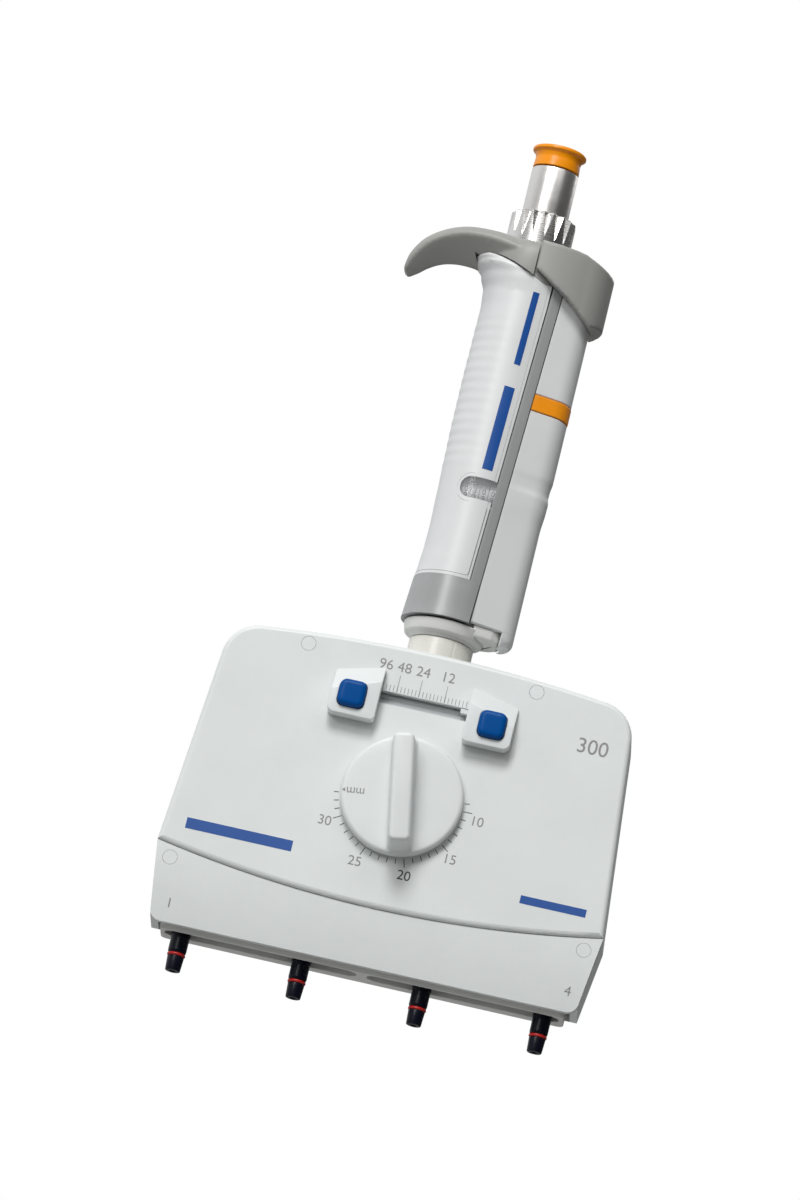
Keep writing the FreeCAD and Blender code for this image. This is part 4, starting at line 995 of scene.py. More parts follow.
# %% Slot backing
SHUTTER_HALF_LONG = 23.8
SHUTTER_BACK_Y = -8.03
SHUTTER_THICK = 0.14
shutter_halves = []
for part, low_z, high_z in (("below", 78.5, 83.9), ("above", 85.35, 87.15)):
    outline = soft_corners([(-SHUTTER_HALF_LONG, low_z), (SHUTTER_HALF_LONG, low_z),
                            (SHUTTER_HALF_LONG, high_z), (-SHUTTER_HALF_LONG, high_z)], 0.6, 4)
    half = moulded_block(f"shutter_{part}", outline, [(0.0, 0.0), (SHUTTER_THICK, 0.0)],
                         facing_front(0, 0, SHUTTER_BACK_Y))
    shutter_halves.append(half)
finish_piece(joined("slot_shutter", *shutter_halves), "lower_housing", CURSOR_PALE)
tail_outline = soft_corners([(-14.0, 84.0), (9.7, 84.0), (9.7, 85.2), (-14.0, 85.2)], 0.4, 4)
tail = moulded_block("cursor_tail", tail_outline, [(0.0, 0.0), (0.5, 0.0)], facing_front(0, 0, -7.5))
finish_piece(tail, "cursor", CURSOR_PALE)

# %% [markdown]
# ## Grip shell
# The white shell wraps the left of the handle. The hand shapes it: it is waisted below, swells in
# the palm, flares under the finger hook, and has shallow ripples on the left. A skin of rings does
# this well, as each ring's radius is a formula of height and angle. The last millimetre before the
# silver strip steps down a little, which draws the fine double line beside it.

# %% Grip shell
GRIP_R = 11.0
GRIP_BORE = 10.25
GRIP_LOW = box_mm("grip_shell")[0].z
STRIP_WIDE = 2.85
STRIP_GAP = 0.12
RAIL_X, RAIL_R = 12.6, 6.5
FLANK_LEAN = math.asin((GRIP_R - RAIL_R) / RAIL_X)
PALM = [(120.5, 0.5), (124.0, 0.12), (130.0, -0.25), (136.0, -0.35), (145.0, -0.15), (155.0, 0.1),
        (165.0, 0.3), (178.0, 0.35), (190.0, 0.2), (198.0, 0.1), (203.0, 0.5), (207.0, 1.7), (210.0, 3.6),
        (212.0, 5.4)]
RIPPLE_LOW, RIPPLE_HIGH = 150.0, 197.0
RIPPLE_STEP = 3.0
RIPPLE_DEPTH = 0.055
HOOK_JOINT_Z = 206.0
HOOK_JOINT_X = 4.6
HOOK_JOINT_RISE = 0.441       # the joint with the hook climbs this much for each mm to the left
FLARE_ROLL = 2.6              # radius of the flare's rolled upper edge


def strip_x(z):
    """Where the silver strip ends on the right, at a height on the handle."""
    return 6.6 + (z - 111.0) / 95.0 * 3.7


def hook_joint_z(x):
    """Height of the joint with the hook, at an x."""
    return HOOK_JOINT_Z + HOOK_JOINT_RISE * min(13.6, max(0.0, HOOK_JOINT_X - x))


def flank_y(x, out=0.0):
    """Front of the handle at an x: its round grip, then the flat flank that runs on to the rail."""
    radius = GRIP_R + out
    if x < radius * math.sin(FLANK_LEAN):
        return -math.sqrt(radius * radius - x * x)
    return -(radius - x * math.sin(FLANK_LEAN)) / math.cos(FLANK_LEAN)


def grip_radius(z, turn):
    """Outer radius of the shell at a height and a turn from the +X axis."""
    if math.cos(turn) > math.sin(FLANK_LEAN):
        from_x = min(turn, 2 * math.pi - turn)
        return GRIP_R / math.cos(math.pi / 2 - FLANK_LEAN - from_x)
    palm_side = max(0.0, -math.cos(turn)) ** 1.3
    flare_side = max(0.0, -math.cos(turn) + 0.15) ** 0.9
    swell = along(PALM, z) * (palm_side if z < 203.0 else flare_side)
    fade = min(1.0, max(0.0, (z - RIPPLE_LOW) / 5.0)) * min(1.0, max(0.0, (RIPPLE_HIGH - z) / 5.0))
    ripple = RIPPLE_DEPTH * fade * palm_side ** 0.7 * math.cos(2 * math.pi * (z - RIPPLE_LOW) / RIPPLE_STEP)
    return GRIP_R + swell + ripple


def flare_roll(below_top, turn):
    """How far the flare's upper edge rolls inward, from a little under the joint with the hook."""
    if below_top >= FLARE_ROLL:
        return 0.0
    open_side = max(0.0, -math.cos(turn) + 0.15) ** 0.9
    return open_side * (FLARE_ROLL - math.sqrt(FLARE_ROLL ** 2 - (FLARE_ROLL - below_top) ** 2))


def grip_ring_points(level, columns=110):
    """One closed ring of the shell: its outside, then its inside on the way back."""
    z = min(level, 200.0)
    edge_x = strip_x(z) - STRIP_WIDE - STRIP_GAP
    edge_turn = math.atan2(-flank_y(edge_x), edge_x)
    sweep = 2 * math.pi - 2 * edge_turn
    near = [0.0, 0.12, 0.5, 0.94, 1.04, 1.8]
    shares = [d / GRIP_R / sweep for d in near]
    middle = [shares[-1] + (1 - 2 * shares[-1]) * k / columns for k in range(1, columns)]
    shares = shares + middle + [1 - s for s in reversed(shares)]
    outside, inside = [], []
    for share in shares:
        turn = edge_turn + sweep * share
        from_edge = min(share, 1 - share) * sweep * GRIP_R
        top = hook_joint_z(GRIP_R * math.cos(turn)) - 0.1
        height = level if level <= 200.0 else 200.0 + (level - 200.0) / 6.0 * (top - 200.0)
        radius = grip_radius(height, turn)
        radius -= flare_roll(top - height, turn)
        if from_edge < 1.0:
            radius -= 0.16
        if from_edge < 0.05:
            radius -= 0.14
        if level < GRIP_LOW + 0.1:
            radius -= 0.15
        outside.append((radius * math.cos(turn), radius * math.sin(turn), height))
        inside.append((GRIP_BORE * math.cos(turn), GRIP_BORE * math.sin(turn), height))
    return outside + inside[::-1]


levels = [GRIP_LOW + 0.02, GRIP_LOW + 0.2] + [GRIP_LOW + 1.0 + 1.25 * k for k in range(23)]
levels += [150.0 + 0.5 * k for k in range(1, 96)] + [198.0 + 0.5 * k for k in range(1, 15)]
levels += [205.2, 205.4, 205.55, 205.7, 205.8, 205.9, 205.96, 206.0]
shell = rings_object("soft_grip_shell", [grip_ring_points(level) for level in levels])

WINDOW = (-4.55, 5.0, 143.0, 149.0)
window_outline = soft_corners(
    [(WINDOW[0], WINDOW[2]), (WINDOW[1], WINDOW[2]), (WINDOW[1], WINDOW[3]), (WINDOW[0], WINDOW[3])],
    [2.9, 0.0, 0.0, 2.9], 10,
)
opening = moulded_block("opening", window_outline, [(0.0, 0.0), (10.0, 0.0)], facing_front(0, 0, -4.0))
cut_away(shell, opening)
finish_piece(shell, "handle", GRIP_WHITE, ["grip_shell"], sharp=32.0)

# %% [markdown]
# ## Lines on the shell
# A raised rim runs round the window, open towards the silver strip, and a fine grey line edges the
# label panel. Both are narrow ridges. Their path is drawn flat and wrapped onto the round handle,
# which is simpler than drawing it in space, and a small section is then swept along it.

# %% Window rim and panel edge line


def on_handle(x, z, radius=GRIP_R):
    """Wraps a flat drawing round the handle's front; x and z are where its middle lies."""
    start = math.asin(x / radius)
    return lambda u, v, h: (
        (radius + h) * math.sin(start + u / radius), -(radius + h) * math.cos(start + u / radius), z + v
    )


def raised_line(name, path, wrap, half_wide, proud, foot=0.12):
    """A thin raised line along a path of a flat drawing that is wrapped onto the handle."""
    rings = []
    for i, (u, v) in enumerate(path):
        before, after = path[max(i - 1, 0)], path[min(i + 1, len(path) - 1)]
        away = Vector((after[1] - before[1], before[0] - after[0])).normalized() * half_wide
        section = ((-1.0, -foot), (-0.5, proud), (0.5, proud), (1.0, -foot))
        rings.append([wrap(u + away.x * share, v + away.y * share, h) for share, h in section])
    return rings_object(name, rings)


def on_shell(u, v, h):
    """Wraps a drawing onto the shell itself; u runs round it from the middle of the front."""
    turn = 1.5 * math.pi + u / GRIP_R
    radius = grip_radius(v, turn) + h
    return (radius * math.cos(turn), radius * math.sin(turn), v)


rim_path = []
for k in range(25):
    a = math.pi / 2 + math.pi * k / 24
    rim_path.append((-1.6 + 4.0 * math.cos(a), 4.0 * math.sin(a)))
rim_path = [(3.2, 4.0)] + rim_path + [(3.2, -4.0)]
rim = raised_line("window_rim_line", rim_path, on_handle(0.0, 146.0), 0.13, 0.07)
finish_piece(rim, "handle", GRIP_WHITE, sharp=60.0)


def panel_edge_u(z):
    """Where the label panel ends beside the silver strip."""
    return GRIP_R * math.asin((strip_x(z) - STRIP_WIDE - 1.0) / GRIP_R)


PANEL_LOW = GRIP_LOW + 1.1
edge_path = [(-15.0 + 0.75 * k, PANEL_LOW) for k in range(24)]
corner_u = panel_edge_u(PANEL_LOW + 1.0)
edge_path += [(corner_u - 1.0 + math.sin(a), PANEL_LOW + 1.0 - math.cos(a))
              for a in [math.pi / 2 * k / 6 for k in range(7)]]
edge_path += [(panel_edge_u(z), z) for z in [PANEL_LOW + 2.0 + 2.5 * k for k in range(9)] if z < 142.0]
edge_line = raised_line("panel_edge_line", edge_path, on_shell, 0.12, 0.03)
finish_piece(edge_line, "handle", PRINT_GREY, sharp=60.0)

# %% [markdown]
# ## Finger hook
# The hook hangs the pipette on the index finger. It grows out of the handle's top collar in one
# soft sweep, with a crease where its top turns into the hollow below. A skin through flattened
# ovals makes the horn, a lathe makes the collar, and the melt joins them. Then the places of the
# grip shell, the ejector cap and the volume ring are cut out of it.

# %% Finger hook
hook_top = [(-33.9, 204.6), (-33.0, 208.8), (-30.0, 213.4), (-25.0, 216.9), (-19.0, 218.9), (-12.0, 219.2),
            (-6.0, 218.6), (0.0, 217.0)]
hook_low = [(-32.2, 202.3), (-29.8, 204.0), (-27.2, 206.2), (-24.0, 208.0), (-20.0, 208.9), (-15.5, 208.8),
            (-10.0, 207.4), (-3.0, 206.0)]
hook_half_wide = [(3.4,), (5.4,), (7.0,), (8.3,), (9.6,), (10.8,), (11.7,), (12.1,)]
HOOK_HOLLOW = 0.78            # how much narrower the hook is below than at its crease
hook_rings = []
hook_lines = [smooth_line(points, 6) for points in (hook_top, hook_low, hook_half_wide)]
for top_point, low_point, wide in zip(*hook_lines):
    high, deep, half = Vector(top_point), Vector(low_point), wide[0]
    middle, rise = (high + deep) / 2, (high - deep) / 2
    ring = []
    for k in range(40):
        a = 2 * math.pi * k / 40
        across = math.copysign(abs(math.cos(a)) ** 0.72, math.cos(a)) * half
        lift = math.copysign(abs(math.sin(a)) ** 0.8, math.sin(a))
        if lift < 0.3:
            across *= 1.0 - HOOK_HOLLOW * min(1.0, (0.3 - lift) / 1.3)
        ring.append((middle.x + rise.x * lift, across, middle.y + rise.y * lift))
    hook_rings.append(ring)
horn = rings_object("horn", hook_rings)
collar_profile = smooth_line([(11.3, 204.6), (12.1, 207.0), (12.35, 210.5), (12.1, 214.0), (11.2, 216.4),
                              (10.2, 217.2)], 5)
collar = lathe("collar", [(8.8, 204.6)] + collar_profile + [(8.8, 217.3)], standing(), 96)
hook = melt(joined("hook_horn_collar", horn, collar), 0.42, 7)

cap_room = moulded_block("cap_room", soft_corners([(1.4, -20), (40, -20), (40, 20), (1.4, 20)], 0.0),
                         [(195.0, 0.0), (225.0, 0.0)], standing())
cap_keep = lathe("cap_keep", [(0.0, 190.0), (11.1, 190.0), (11.1, 230.0), (0.0, 230.0)], standing(), 96)
cut_away(cap_room, cap_keep)
under = [(-60.0, 190.0), (30.0, 190.0), (30.0, HOOK_JOINT_Z), (HOOK_JOINT_X, HOOK_JOINT_Z),
         (-9.0, hook_joint_z(-9.0)), (-11.5, hook_joint_z(-9.0)), (-11.5, 196.0), (-60.0, 196.0)]
shell_room = moulded_block("shell_room", [Vector(p) for p in under], [(-30.0, 0.0), (30.0, 0.0)],
                           facing_front(0, 0, 0))
core_room = lathe("core_room", [(0.0, 190.0), (9.2, 190.0), (9.2, 230.0), (0.0, 230.0)], standing(), 96)
flare_rings = []
for level in [196.0 + 0.5 * k for k in range(21)]:
    ring = []
    for k in range(96):
        turn = 2 * math.pi * k / 96
        top = hook_joint_z(GRIP_R * math.cos(turn))
        height = level if level <= 200.0 else 200.0 + (level - 200.0) / 6.0 * (top - 200.0)
        radius = grip_radius(height, turn) + 0.06
        ring.append((radius * math.cos(turn), radius * math.sin(turn), height))
    flare_rings.append(ring)
flare_room = rings_object("flare_room", flare_rings)
cut_away(hook, cap_room, shell_room, core_room, flare_room)
finish_piece(hook, "handle", HOOK_GREY, ["finger_hook"], sharp=40.0)

# %% [markdown]
# ## Ejector cap
# The thumb pushes this cap down to eject the tips. In the frame it is already the right solid, only
# with hard edges. Its mesh is copied, melted at about a third of a millimetre and smoothed, which
# rounds the thumb edge and the lower lip as its mould does. A thin slice is then cut from under its
# roof, which lands on the silver frame when the cap is pressed down.

# %% Ejector cap
cap_source = bpy.data.objects["ejector_cap"]
cap_mesh = cap_source.data.copy()
cap_mesh.transform(cap_source.matrix_world)
cap = bpy.data.objects.new("thumb_cap", cap_mesh)
scene.collection.objects.link(cap)
melt(cap, 0.36, 9)
ROOF_UNDER = 210.5            # underside of the cap's roof in the frame
landing = [(x, side * flank_y(x, 0.07)) for side, xs in ((1, (4.0, 10.6)), (-1, (10.6, 4.0))) for x in xs]
frame_room = moulded_block("frame_room", [Vector(point) for point in landing],
                           [(ROOF_UNDER - 1.5, 0.0), (ROOF_UNDER + 0.12, 0.0)], standing())
cut_away(cap, frame_room)
finish_piece(cap, "ejector_upper", HOOK_GREY, ["ejector_cap"], sharp=60.0)

# %% [markdown]
# ## Ejector rail
# A hollow rail on the right carries the cap's push down to the ring round the neck. Its section is
# the handle's circle and a smaller one, joined by flat flanks. The smaller one changes with the
# height: it is narrow below, swells into a knuckle for the fingers and has a slight waist above
# that. The orange band clips round the rail, on a thinner sleeve that joins its two lengths.

# %% Ejector rail
RAIL_WALL = 1.2
rail_low, rail_high = 109.7, box_mm("ejector_rail")[1].z
KNUCKLE = [(140.0, -0.45), (146.5, -0.05), (148.2, 0.0), (150.2, -0.35), (152.0, -0.3), (154.5, 0.0)]


def rail_contour(z, out, steps=18):
    """The rail's contour at a height, from its front edge round the right to its back edge."""
    handle_r, rail_r = GRIP_R + out, RAIL_R + along(KNUCKLE, z) + out
    lean = math.acos((handle_r - rail_r) / RAIL_X)
    foot = Vector((math.cos(lean), -math.sin(lean)))
    near, far = foot * handle_r, Vector((RAIL_X, 0.0)) + foot * rail_r
    share = (strip_x(z) + STRIP_GAP - near.x) / (far.x - near.x)
    front = [near.lerp(far, share + (1 - share) * k / 6) for k in range(6)]
    round_right = [Vector((RAIL_X, 0.0)) + rail_r * Vector((math.cos(a), math.sin(a)))
                   for a in [-lean + 2 * lean * k / steps for k in range(steps + 1)]]
    return front + round_right + [Vector((p.x, -p.y)) for p in reversed(front)]


def rail_skin(name, rows, out=0.0, wall=RAIL_WALL, lip=0.35):
    """A hollow length of rail between two heights, its rims rounded by a lip."""
    rings = []
    for i, z in enumerate(rows):
        worn = lip if i in (0, len(rows) - 1) else 0.0
        outer, inner = rail_contour(z, out - worn), rail_contour(z, out - wall)
        rings.append([(p.x, p.y, z) for p in outer] + [(p.x, p.y, z) for p in reversed(inner)])
    return rings_object(name, rings)


band_low, band_high = (box_mm("colour_band")[k].z for k in (0, 1))
lower_rows = [rail_low, rail_low + 0.35] + [112.0 + 4.0 * k for k in range(8)]
lower_rows += [141.0 + 0.7 * k for k in range(22)] + [160.0, 165.0, band_low - 0.45, band_low - 0.1]
upper_rows = [band_high + 0.1, band_high + 0.45, 185.0, 195.0, rail_high - 0.3, rail_high]
inside_rows = [band_low - 3.0, band_low - 2.6, band_high + 2.6, band_high + 3.0]
rail_parts = [
    rail_skin("rail_low", lower_rows),
    rail_skin("rail_high", upper_rows),
    rail_skin("rail_inside", inside_rows, -0.75, 0.45, 0.0),
]
rail = joined("ejector_rail_skin", *rail_parts)
slot_outline = soft_corners([(-0.9, 180.0), (0.9, 180.0), (0.9, 194.0), (-0.9, 194.0)], 0.85, 6)
slot_room = moulded_block("slot_room", slot_outline, [(17.5, 0.0), (21.0, 0.0)],
                          lambda u, v, h: (h, -6.0 + u, v))
cut_away(rail, slot_room)
finish_piece(rail, "ejector_upper", GRIP_WHITE, ["ejector_rail"], sharp=35.0)

band_rows = [band_low, band_low + 0.2, (band_low + band_high) / 2, band_high - 0.2, band_high]
band = rail_skin("orange_band", band_rows, 0.14, 0.85, 0.16)
finish_piece(band, "ejector_upper", SIGNAL_ORANGE, ["colour_band"], sharp=35.0)

# %% [markdown]
# ## Foot of the rail
# Below, the rail's right wall runs on and curls under a pale plug, with a dark gap between them.
# The plug is the arm to the pressure ring, which sits round the neck right under the handle's
# collar. Ring, plug and toe are three pieces, so that the gap between them is real.

# %% Pressure ring, arm and toe
RING_LOW, RING_HIGH = 104.1, 108.5
ring_profile = soft_corners([(7.35, RING_LOW), (8.6, RING_LOW), (9.0, RING_LOW + 0.9), (10.6, RING_LOW + 1.3),
                             (11.35, RING_HIGH), (7.35, RING_HIGH)], [0.3, 0.3, 0.4, 0.5, 0.4, 0.2], 5)
pressure_ring = lathe("pressure_ring", ring_profile, standing(), 128)
finish_piece(pressure_ring, "ejector_upper", EJECTOR_WHITE)

PLUG_LOW, PLUG_HIGH = 106.2, 111.6
plug_half = [(7.6, -7.7), (12.9, -5.6), (15.2, -3.2)]
plug_outline = soft_corners(plug_half + [(x, -y) for x, y in reversed(plug_half)],
                            [0.5, 1.6, 1.2, 1.2, 1.6, 0.5], 6)
plug_layers = rounded_rim(PLUG_LOW, PLUG_HIGH, 1.2, 0.1, 6)
plug = moulded_block("rail_foot_plug", plug_outline, plug_layers, standing())
finish_piece(plug, "ejector_upper", EJECTOR_WHITE, sharp=50.0)

TOE_R = RAIL_R - 0.45
TOE_LOW, TOE_HIGH = 105.8, 110.0
toe_rings = []
for k in range(9):
    z = TOE_LOW + (TOE_HIGH - TOE_LOW) * (k / 8) ** 1.3
    under = max(0.0, 1.0 - (z - TOE_LOW) / 2.6)
    curl = 1 - math.sqrt(max(0.0, 1 - under * under))
    half_turn = math.radians(60.0 - 12.0 * curl)
    outer = [(TOE_R - 2.4 * curl, half_turn * (n / 10 - 1)) for n in range(21)]
    inner = [(TOE_R - 0.95 - 2.4 * curl, a) for r, a in reversed(outer)]
    toe_rings.append([(RAIL_X + r * math.cos(a), r * math.sin(a), z) for r, a in outer + inner])
toe = rings_object("rail_toe", toe_rings)
finish_piece(toe, "ejector_upper", GRIP_WHITE, sharp=45.0)

# %% [markdown]
# ## Volume ring
# A bright metal ring sets the volume. Its eighteen flutes are V-shaped cuts, wide at the top rim
# and running out to a point lower down. The skin's columns follow the flutes' own width, so every
# flute edge is a crisp line of vertices and not a staircase.

# %% Volume ring
ring_low, ring_high = box_mm("volume_ring")
KNOB_R = 8.9
FLUTES = 18
FLUTE_DEPTH = 1.15
FLUTE_POINT_Z = 219.2
KNOB_BORE = 6.55
knob_rows = [ring_low.z, 216.0, FLUTE_POINT_Z - 0.05]
knob_rows += [FLUTE_POINT_Z + (ring_high.z - 0.35 - FLUTE_POINT_Z) * k / 10 for k in range(11)]
knob_rings = []
for z in knob_rows + [ring_high.z]:
    open_share = max(0.0, (z - FLUTE_POINT_Z) / (ring_high.z - FLUTE_POINT_Z)) ** 0.8
    half_wide = 0.02 + 0.40 * open_share
    taper = 0.3 if z == ring_high.z else 0.0
    ring = []
    for flute in range(FLUTES):
        right_half = (half_wide / 2, half_wide, half_wide + 0.015)
        for share in (-0.5, *(-s for s in reversed(right_half)), 0.0, *right_half):
            depth = FLUTE_DEPTH * open_share * max(0.0, 1.0 - abs(share) / half_wide)
            a = 2 * math.pi * (flute + share) / FLUTES
            r = KNOB_R - taper - depth
            ring.append((r * math.cos(a), r * math.sin(a), z))
    knob_rings.append(ring)
knob = rings_object("fluted_knob", knob_rings)
bore = lathe("bore", [(0.0, 200.0), (KNOB_BORE, 200.0), (KNOB_BORE, 240.0), (0.0, 240.0)], standing(), 96)
cut_away(knob, bore)
finish_piece(knob, "volume_ring", RING_STEEL, ["volume_ring"], sharp=12.0)

# %% [markdown]
# ## Plunger
# The plunger shows a turned steel sleeve and an orange cap with a flange for the thumb. Both are
# lathes; their softened corners catch the light.

# %% Plunger sleeve and cap
sleeve_box, cap_box = box_mm("plunger_sleeve"), box_mm("plunger_cap")
PLUNGER_R = sleeve_box[1].x
PLUNGER_BORE = 5.3
steel_profile = soft_corners(
    [(PLUNGER_BORE, sleeve_box[0].z), (PLUNGER_R, sleeve_box[0].z),
     (PLUNGER_R, sleeve_box[1].z), (PLUNGER_BORE, sleeve_box[1].z)],
    [0.1, 0.25, 0.2, 0.1], 4,
)
steel = lathe("turned_sleeve", steel_profile, standing(), 144)
finish_piece(steel, "plunger", SLEEVE_STEEL, ["plunger_sleeve"])
CAP_BASE, CAP_TOP = cap_box[0].z, cap_box[1].z
FLANGE_R = cap_box[1].x
button_profile = [(0.0, CAP_BASE)] + soft_corners(
    [(6.4, CAP_BASE), (6.15, CAP_BASE + 3.2), (6.5, CAP_TOP - 1.45), (FLANGE_R, CAP_TOP - 0.95),
     (FLANGE_R, CAP_TOP), (6.3, CAP_TOP), (5.4, CAP_TOP - 0.8), (3.0, CAP_TOP - 0.95)],
    [0.15, 2.0, 0.6, 0.3, 0.45, 0.5, 0.8, 0], 6,
) + [(0.0, CAP_TOP - 0.95)]
button_cap = lathe("orange_thumb_cap", button_profile, standing(), 144)
finish_piece(button_cap, "plunger", SIGNAL_ORANGE, ["plunger_cap"])

# %% [markdown]
# ## Silver strip
# The silver frame shows as a strip between the white shell and the rail, and runs down past the
# window without a break. In the frame the window's opening bites into it. A thin bent skin, less
# than a tenth of a millimetre proud of the frame, closes the bite and gives it a clean edge.

# %% Silver strip
STRIP_PROUD = 0.07
STRIP_LOW, STRIP_HIGH = 112.5, 205.6
STRIP_ROWS = 47
strip_rings = []
for k in range(STRIP_ROWS + 1):
    z = STRIP_LOW + (STRIP_HIGH - STRIP_LOW) * k / STRIP_ROWS
    left, right = strip_x(z) - STRIP_WIDE, strip_x(z) - 0.1
    ring = []
    for out, shares in ((STRIP_PROUD, (0.0, 0.06, 0.35, 0.65, 0.94, 1.0)), (-0.6, (1.0, 0.5, 0.0))):
        for share in shares:
            worn = 0.05 if out > 0 and share in (0.0, 1.0) else 0.0
            x = left + (right - left) * share
            ring.append((x, flank_y(x, out - worn), z))
    strip_rings.append(ring)
strip = rings_object("silver_strip", strip_rings)
finish_piece(strip, "handle", SILVER_GREY, sharp=50.0)

# %% [markdown]
# ## Printed scales
# The dial has a tick for every millimetre of spacing and numbers at every fifth. The slot has a
# ruler with the plate formats. A print is ink a few hundredths thick, so each scale is one thin
# sheet of digits and bars that lies just off the surface. Plain blue bars take the places of the
# name marks.

# %% Print helpers
PRINT_THICK = 0.03
PRINT_LIFT = 0.012


def stamp(sheet, points, faces):
    """Add points and their faces to a sheet of print."""
    start = len(sheet[0])
    sheet[0].extend(points)
    sheet[1].extend(tuple(start + i for i in face) for face in faces)


def digits(sheet, text, tall, place, middle, turn=0.0):
    """Digits of a height, centred on a point of a flat drawing and turned about it."""
    curve = bpy.data.curves.new("digits", "FONT")
    curve.body = text
    curve.size = tall / 0.7
    curve.extrude = PRINT_THICK / 2
    drawn = bpy.data.objects.new("digits", curve)
    scene.collection.objects.link(drawn)
    graph = bpy.context.evaluated_depsgraph_get()
    mesh = bpy.data.meshes.new_from_object(drawn.evaluated_get(graph))
    bpy.data.objects.remove(drawn)
    low = Vector([min(v.co[k] for v in mesh.vertices) for k in range(3)])
    high = Vector([max(v.co[k] for v in mesh.vertices) for k in range(3)])
    centre = (low + high) / 2
    c, s = math.cos(turn), math.sin(turn)
    points = []
    for vertex in mesh.vertices:
        u, v, h = vertex.co - centre
        lift = PRINT_LIFT + PRINT_THICK / 2 + h
        points.append(place(middle[0] + u * c - v * s, middle[1] + u * s + v * c, lift))
    stamp(sheet, points, [tuple(face.vertices) for face in mesh.polygons])
    bpy.data.meshes.remove(mesh)


def stroke(sheet, place, middle, half_long, half_wide, turn=0.0, parts=1):
    """A straight bar with square ends, cut across and along so that it can follow a bend."""
    c, s = math.cos(turn), math.sin(turn)
    shares = [k / parts * 2 - 1 for k in range(parts + 1)]
    section = [(v, 0.0) for v in shares] + [(v, PRINT_THICK) for v in reversed(shares)]
    count = len(section)
    points, faces = [], []
    for along_bar in shares:
        u = half_long * along_bar
        for share, h in section:
            v = half_wide * share
            points.append(place(middle[0] + u * c - v * s, middle[1] + u * s + v * c, PRINT_LIFT + h))
    for k in range(parts):
        for n in range(count):
            a, b = count * k + n, count * k + (n + 1) % count
            faces.append((a, b, b + count, a + count))
    faces += [tuple(range(count)), tuple(count * parts + n for n in range(count))]
    stamp(sheet, points, faces)


def finish_print(name, sheet, body, material):
    finish_piece(raw_object(name, *sheet), body, material, sharp=30.0)


def front_of(node, x, z):
    """How far forward a CAD node reaches at a point of the front."""
    solid = bpy.data.objects[node]
    inside = solid.matrix_world.inverted()
    start = inside @ (Vector((x, -80.0, z)) * MM)
    met = solid.ray_cast(start, inside.to_3x3() @ Vector((0.0, 1.0, 0.0)))[1]
    return (solid.matrix_world @ met).y / MM


# %% Dial scale
on_panel = facing_front(0.0, 0.0, FRONT_Y)
TICK_START = DIAL_R + 0.35
NUMBER_R = 21.4
NUMBER_DROP = {10: 5.0, 15: 2.0}
ticks_and_shaded_twenty, dial_numbers = ([], []), ([], [])
for value in range(9, 34):
    a = math.radians(-7.5 * (value - 10))
    length = 2.4 if value % 5 == 0 else 1.35
    reach = TICK_START + length / 2
    stroke(ticks_and_shaded_twenty, on_panel, (reach * math.cos(a), DIAL_Z + reach * math.sin(a)), length / 2, 0.1, a)
    if value % 5 == 0:
        a -= math.radians(NUMBER_DROP.get(value, 0.5))
        # The 20 lies in the dial's shadow, so it is printed dark with the ticks: painted shade.
        sheet = ticks_and_shaded_twenty if value == 20 else dial_numbers
        digits(sheet, str(value), 2.65, on_panel, (NUMBER_R * math.cos(a), DIAL_Z + NUMBER_R * math.sin(a)))
finish_print("dial_tick_print", ticks_and_shaded_twenty, "lower_housing", PRINT_DARK)
finish_print("dial_number_print", dial_numbers, "lower_housing", PRINT_GREY)

on_disc = facing_front(DIAL_X, DIAL_Z, DIAL_BACK - DISC_THICK - 0.02)
mark_turn = math.radians(187.5)
dial_mark = ([], [])
digits(dial_mark, "mm", 2.3, on_disc, (12.4 * math.cos(mark_turn), 12.4 * math.sin(mark_turn)), mark_turn)
arrow = [(15.2, -0.55), (16.0, 0.0), (15.2, 0.55)]
c, s = math.cos(mark_turn), math.sin(mark_turn)
arrow_points = [on_disc(u * c - v * s, u * s + v * c, PRINT_LIFT + h)
                for h in (0.0, PRINT_THICK) for u, v in arrow]
stamp(dial_mark, arrow_points, [(0, 1, 2), (3, 4, 5), (0, 1, 4, 3), (1, 2, 5, 4), (2, 0, 3, 5)])
finish_print("dial_mark_print", dial_mark, "dial", PRINT_GREY)

# %% Ruler over the slot, volume mark and channel numbers
RULER_Z = 85.7
ruler = ([], [])
for x in range(-12, 13):
    stroke(ruler, on_panel, (x, RULER_Z + 0.85), 0.85, 0.075, math.pi / 2)
for x, text, number_x in ((-12.0, "96", -12.4), (-8.0, "48", -7.4), (-2.0, "24", -2.2), (5.0, "12", 4.9)):
    stroke(ruler, on_panel, (x, RULER_Z + 2.35), 2.35, 0.075, math.pi / 2)
    digits(ruler, text, 2.75, on_panel, (number_x, 92.8))
digits(ruler, "300", 4.1, on_panel, (46.6, 82.7))
finish_print("ruler_print", ruler, "lower_housing", PRINT_GREY)

chin_numbers = ([], [])
for text, x, z in (("1", -53.9, 16.0), ("4", 54.9, 16.4)):
    low_y, high_y = front_of("chin_cover", x, z - 1.4), front_of("chin_cover", x, z + 1.4)
    lean = (high_y - low_y) / 2.8
    middle_y = (low_y + high_y) / 2
    digits(chin_numbers, text, 2.6,
           lambda u, v, h, x=x, z=z, y=middle_y, lean=lean: (x + u, y + lean * v - h, z + v), (0.0, 0.0))
    print("chin front at", x, z, "is", round(middle_y, 2), "lean", round(lean, 3))
finish_print("channel_number_print", chin_numbers, "lower_housing", PRINT_GREY)

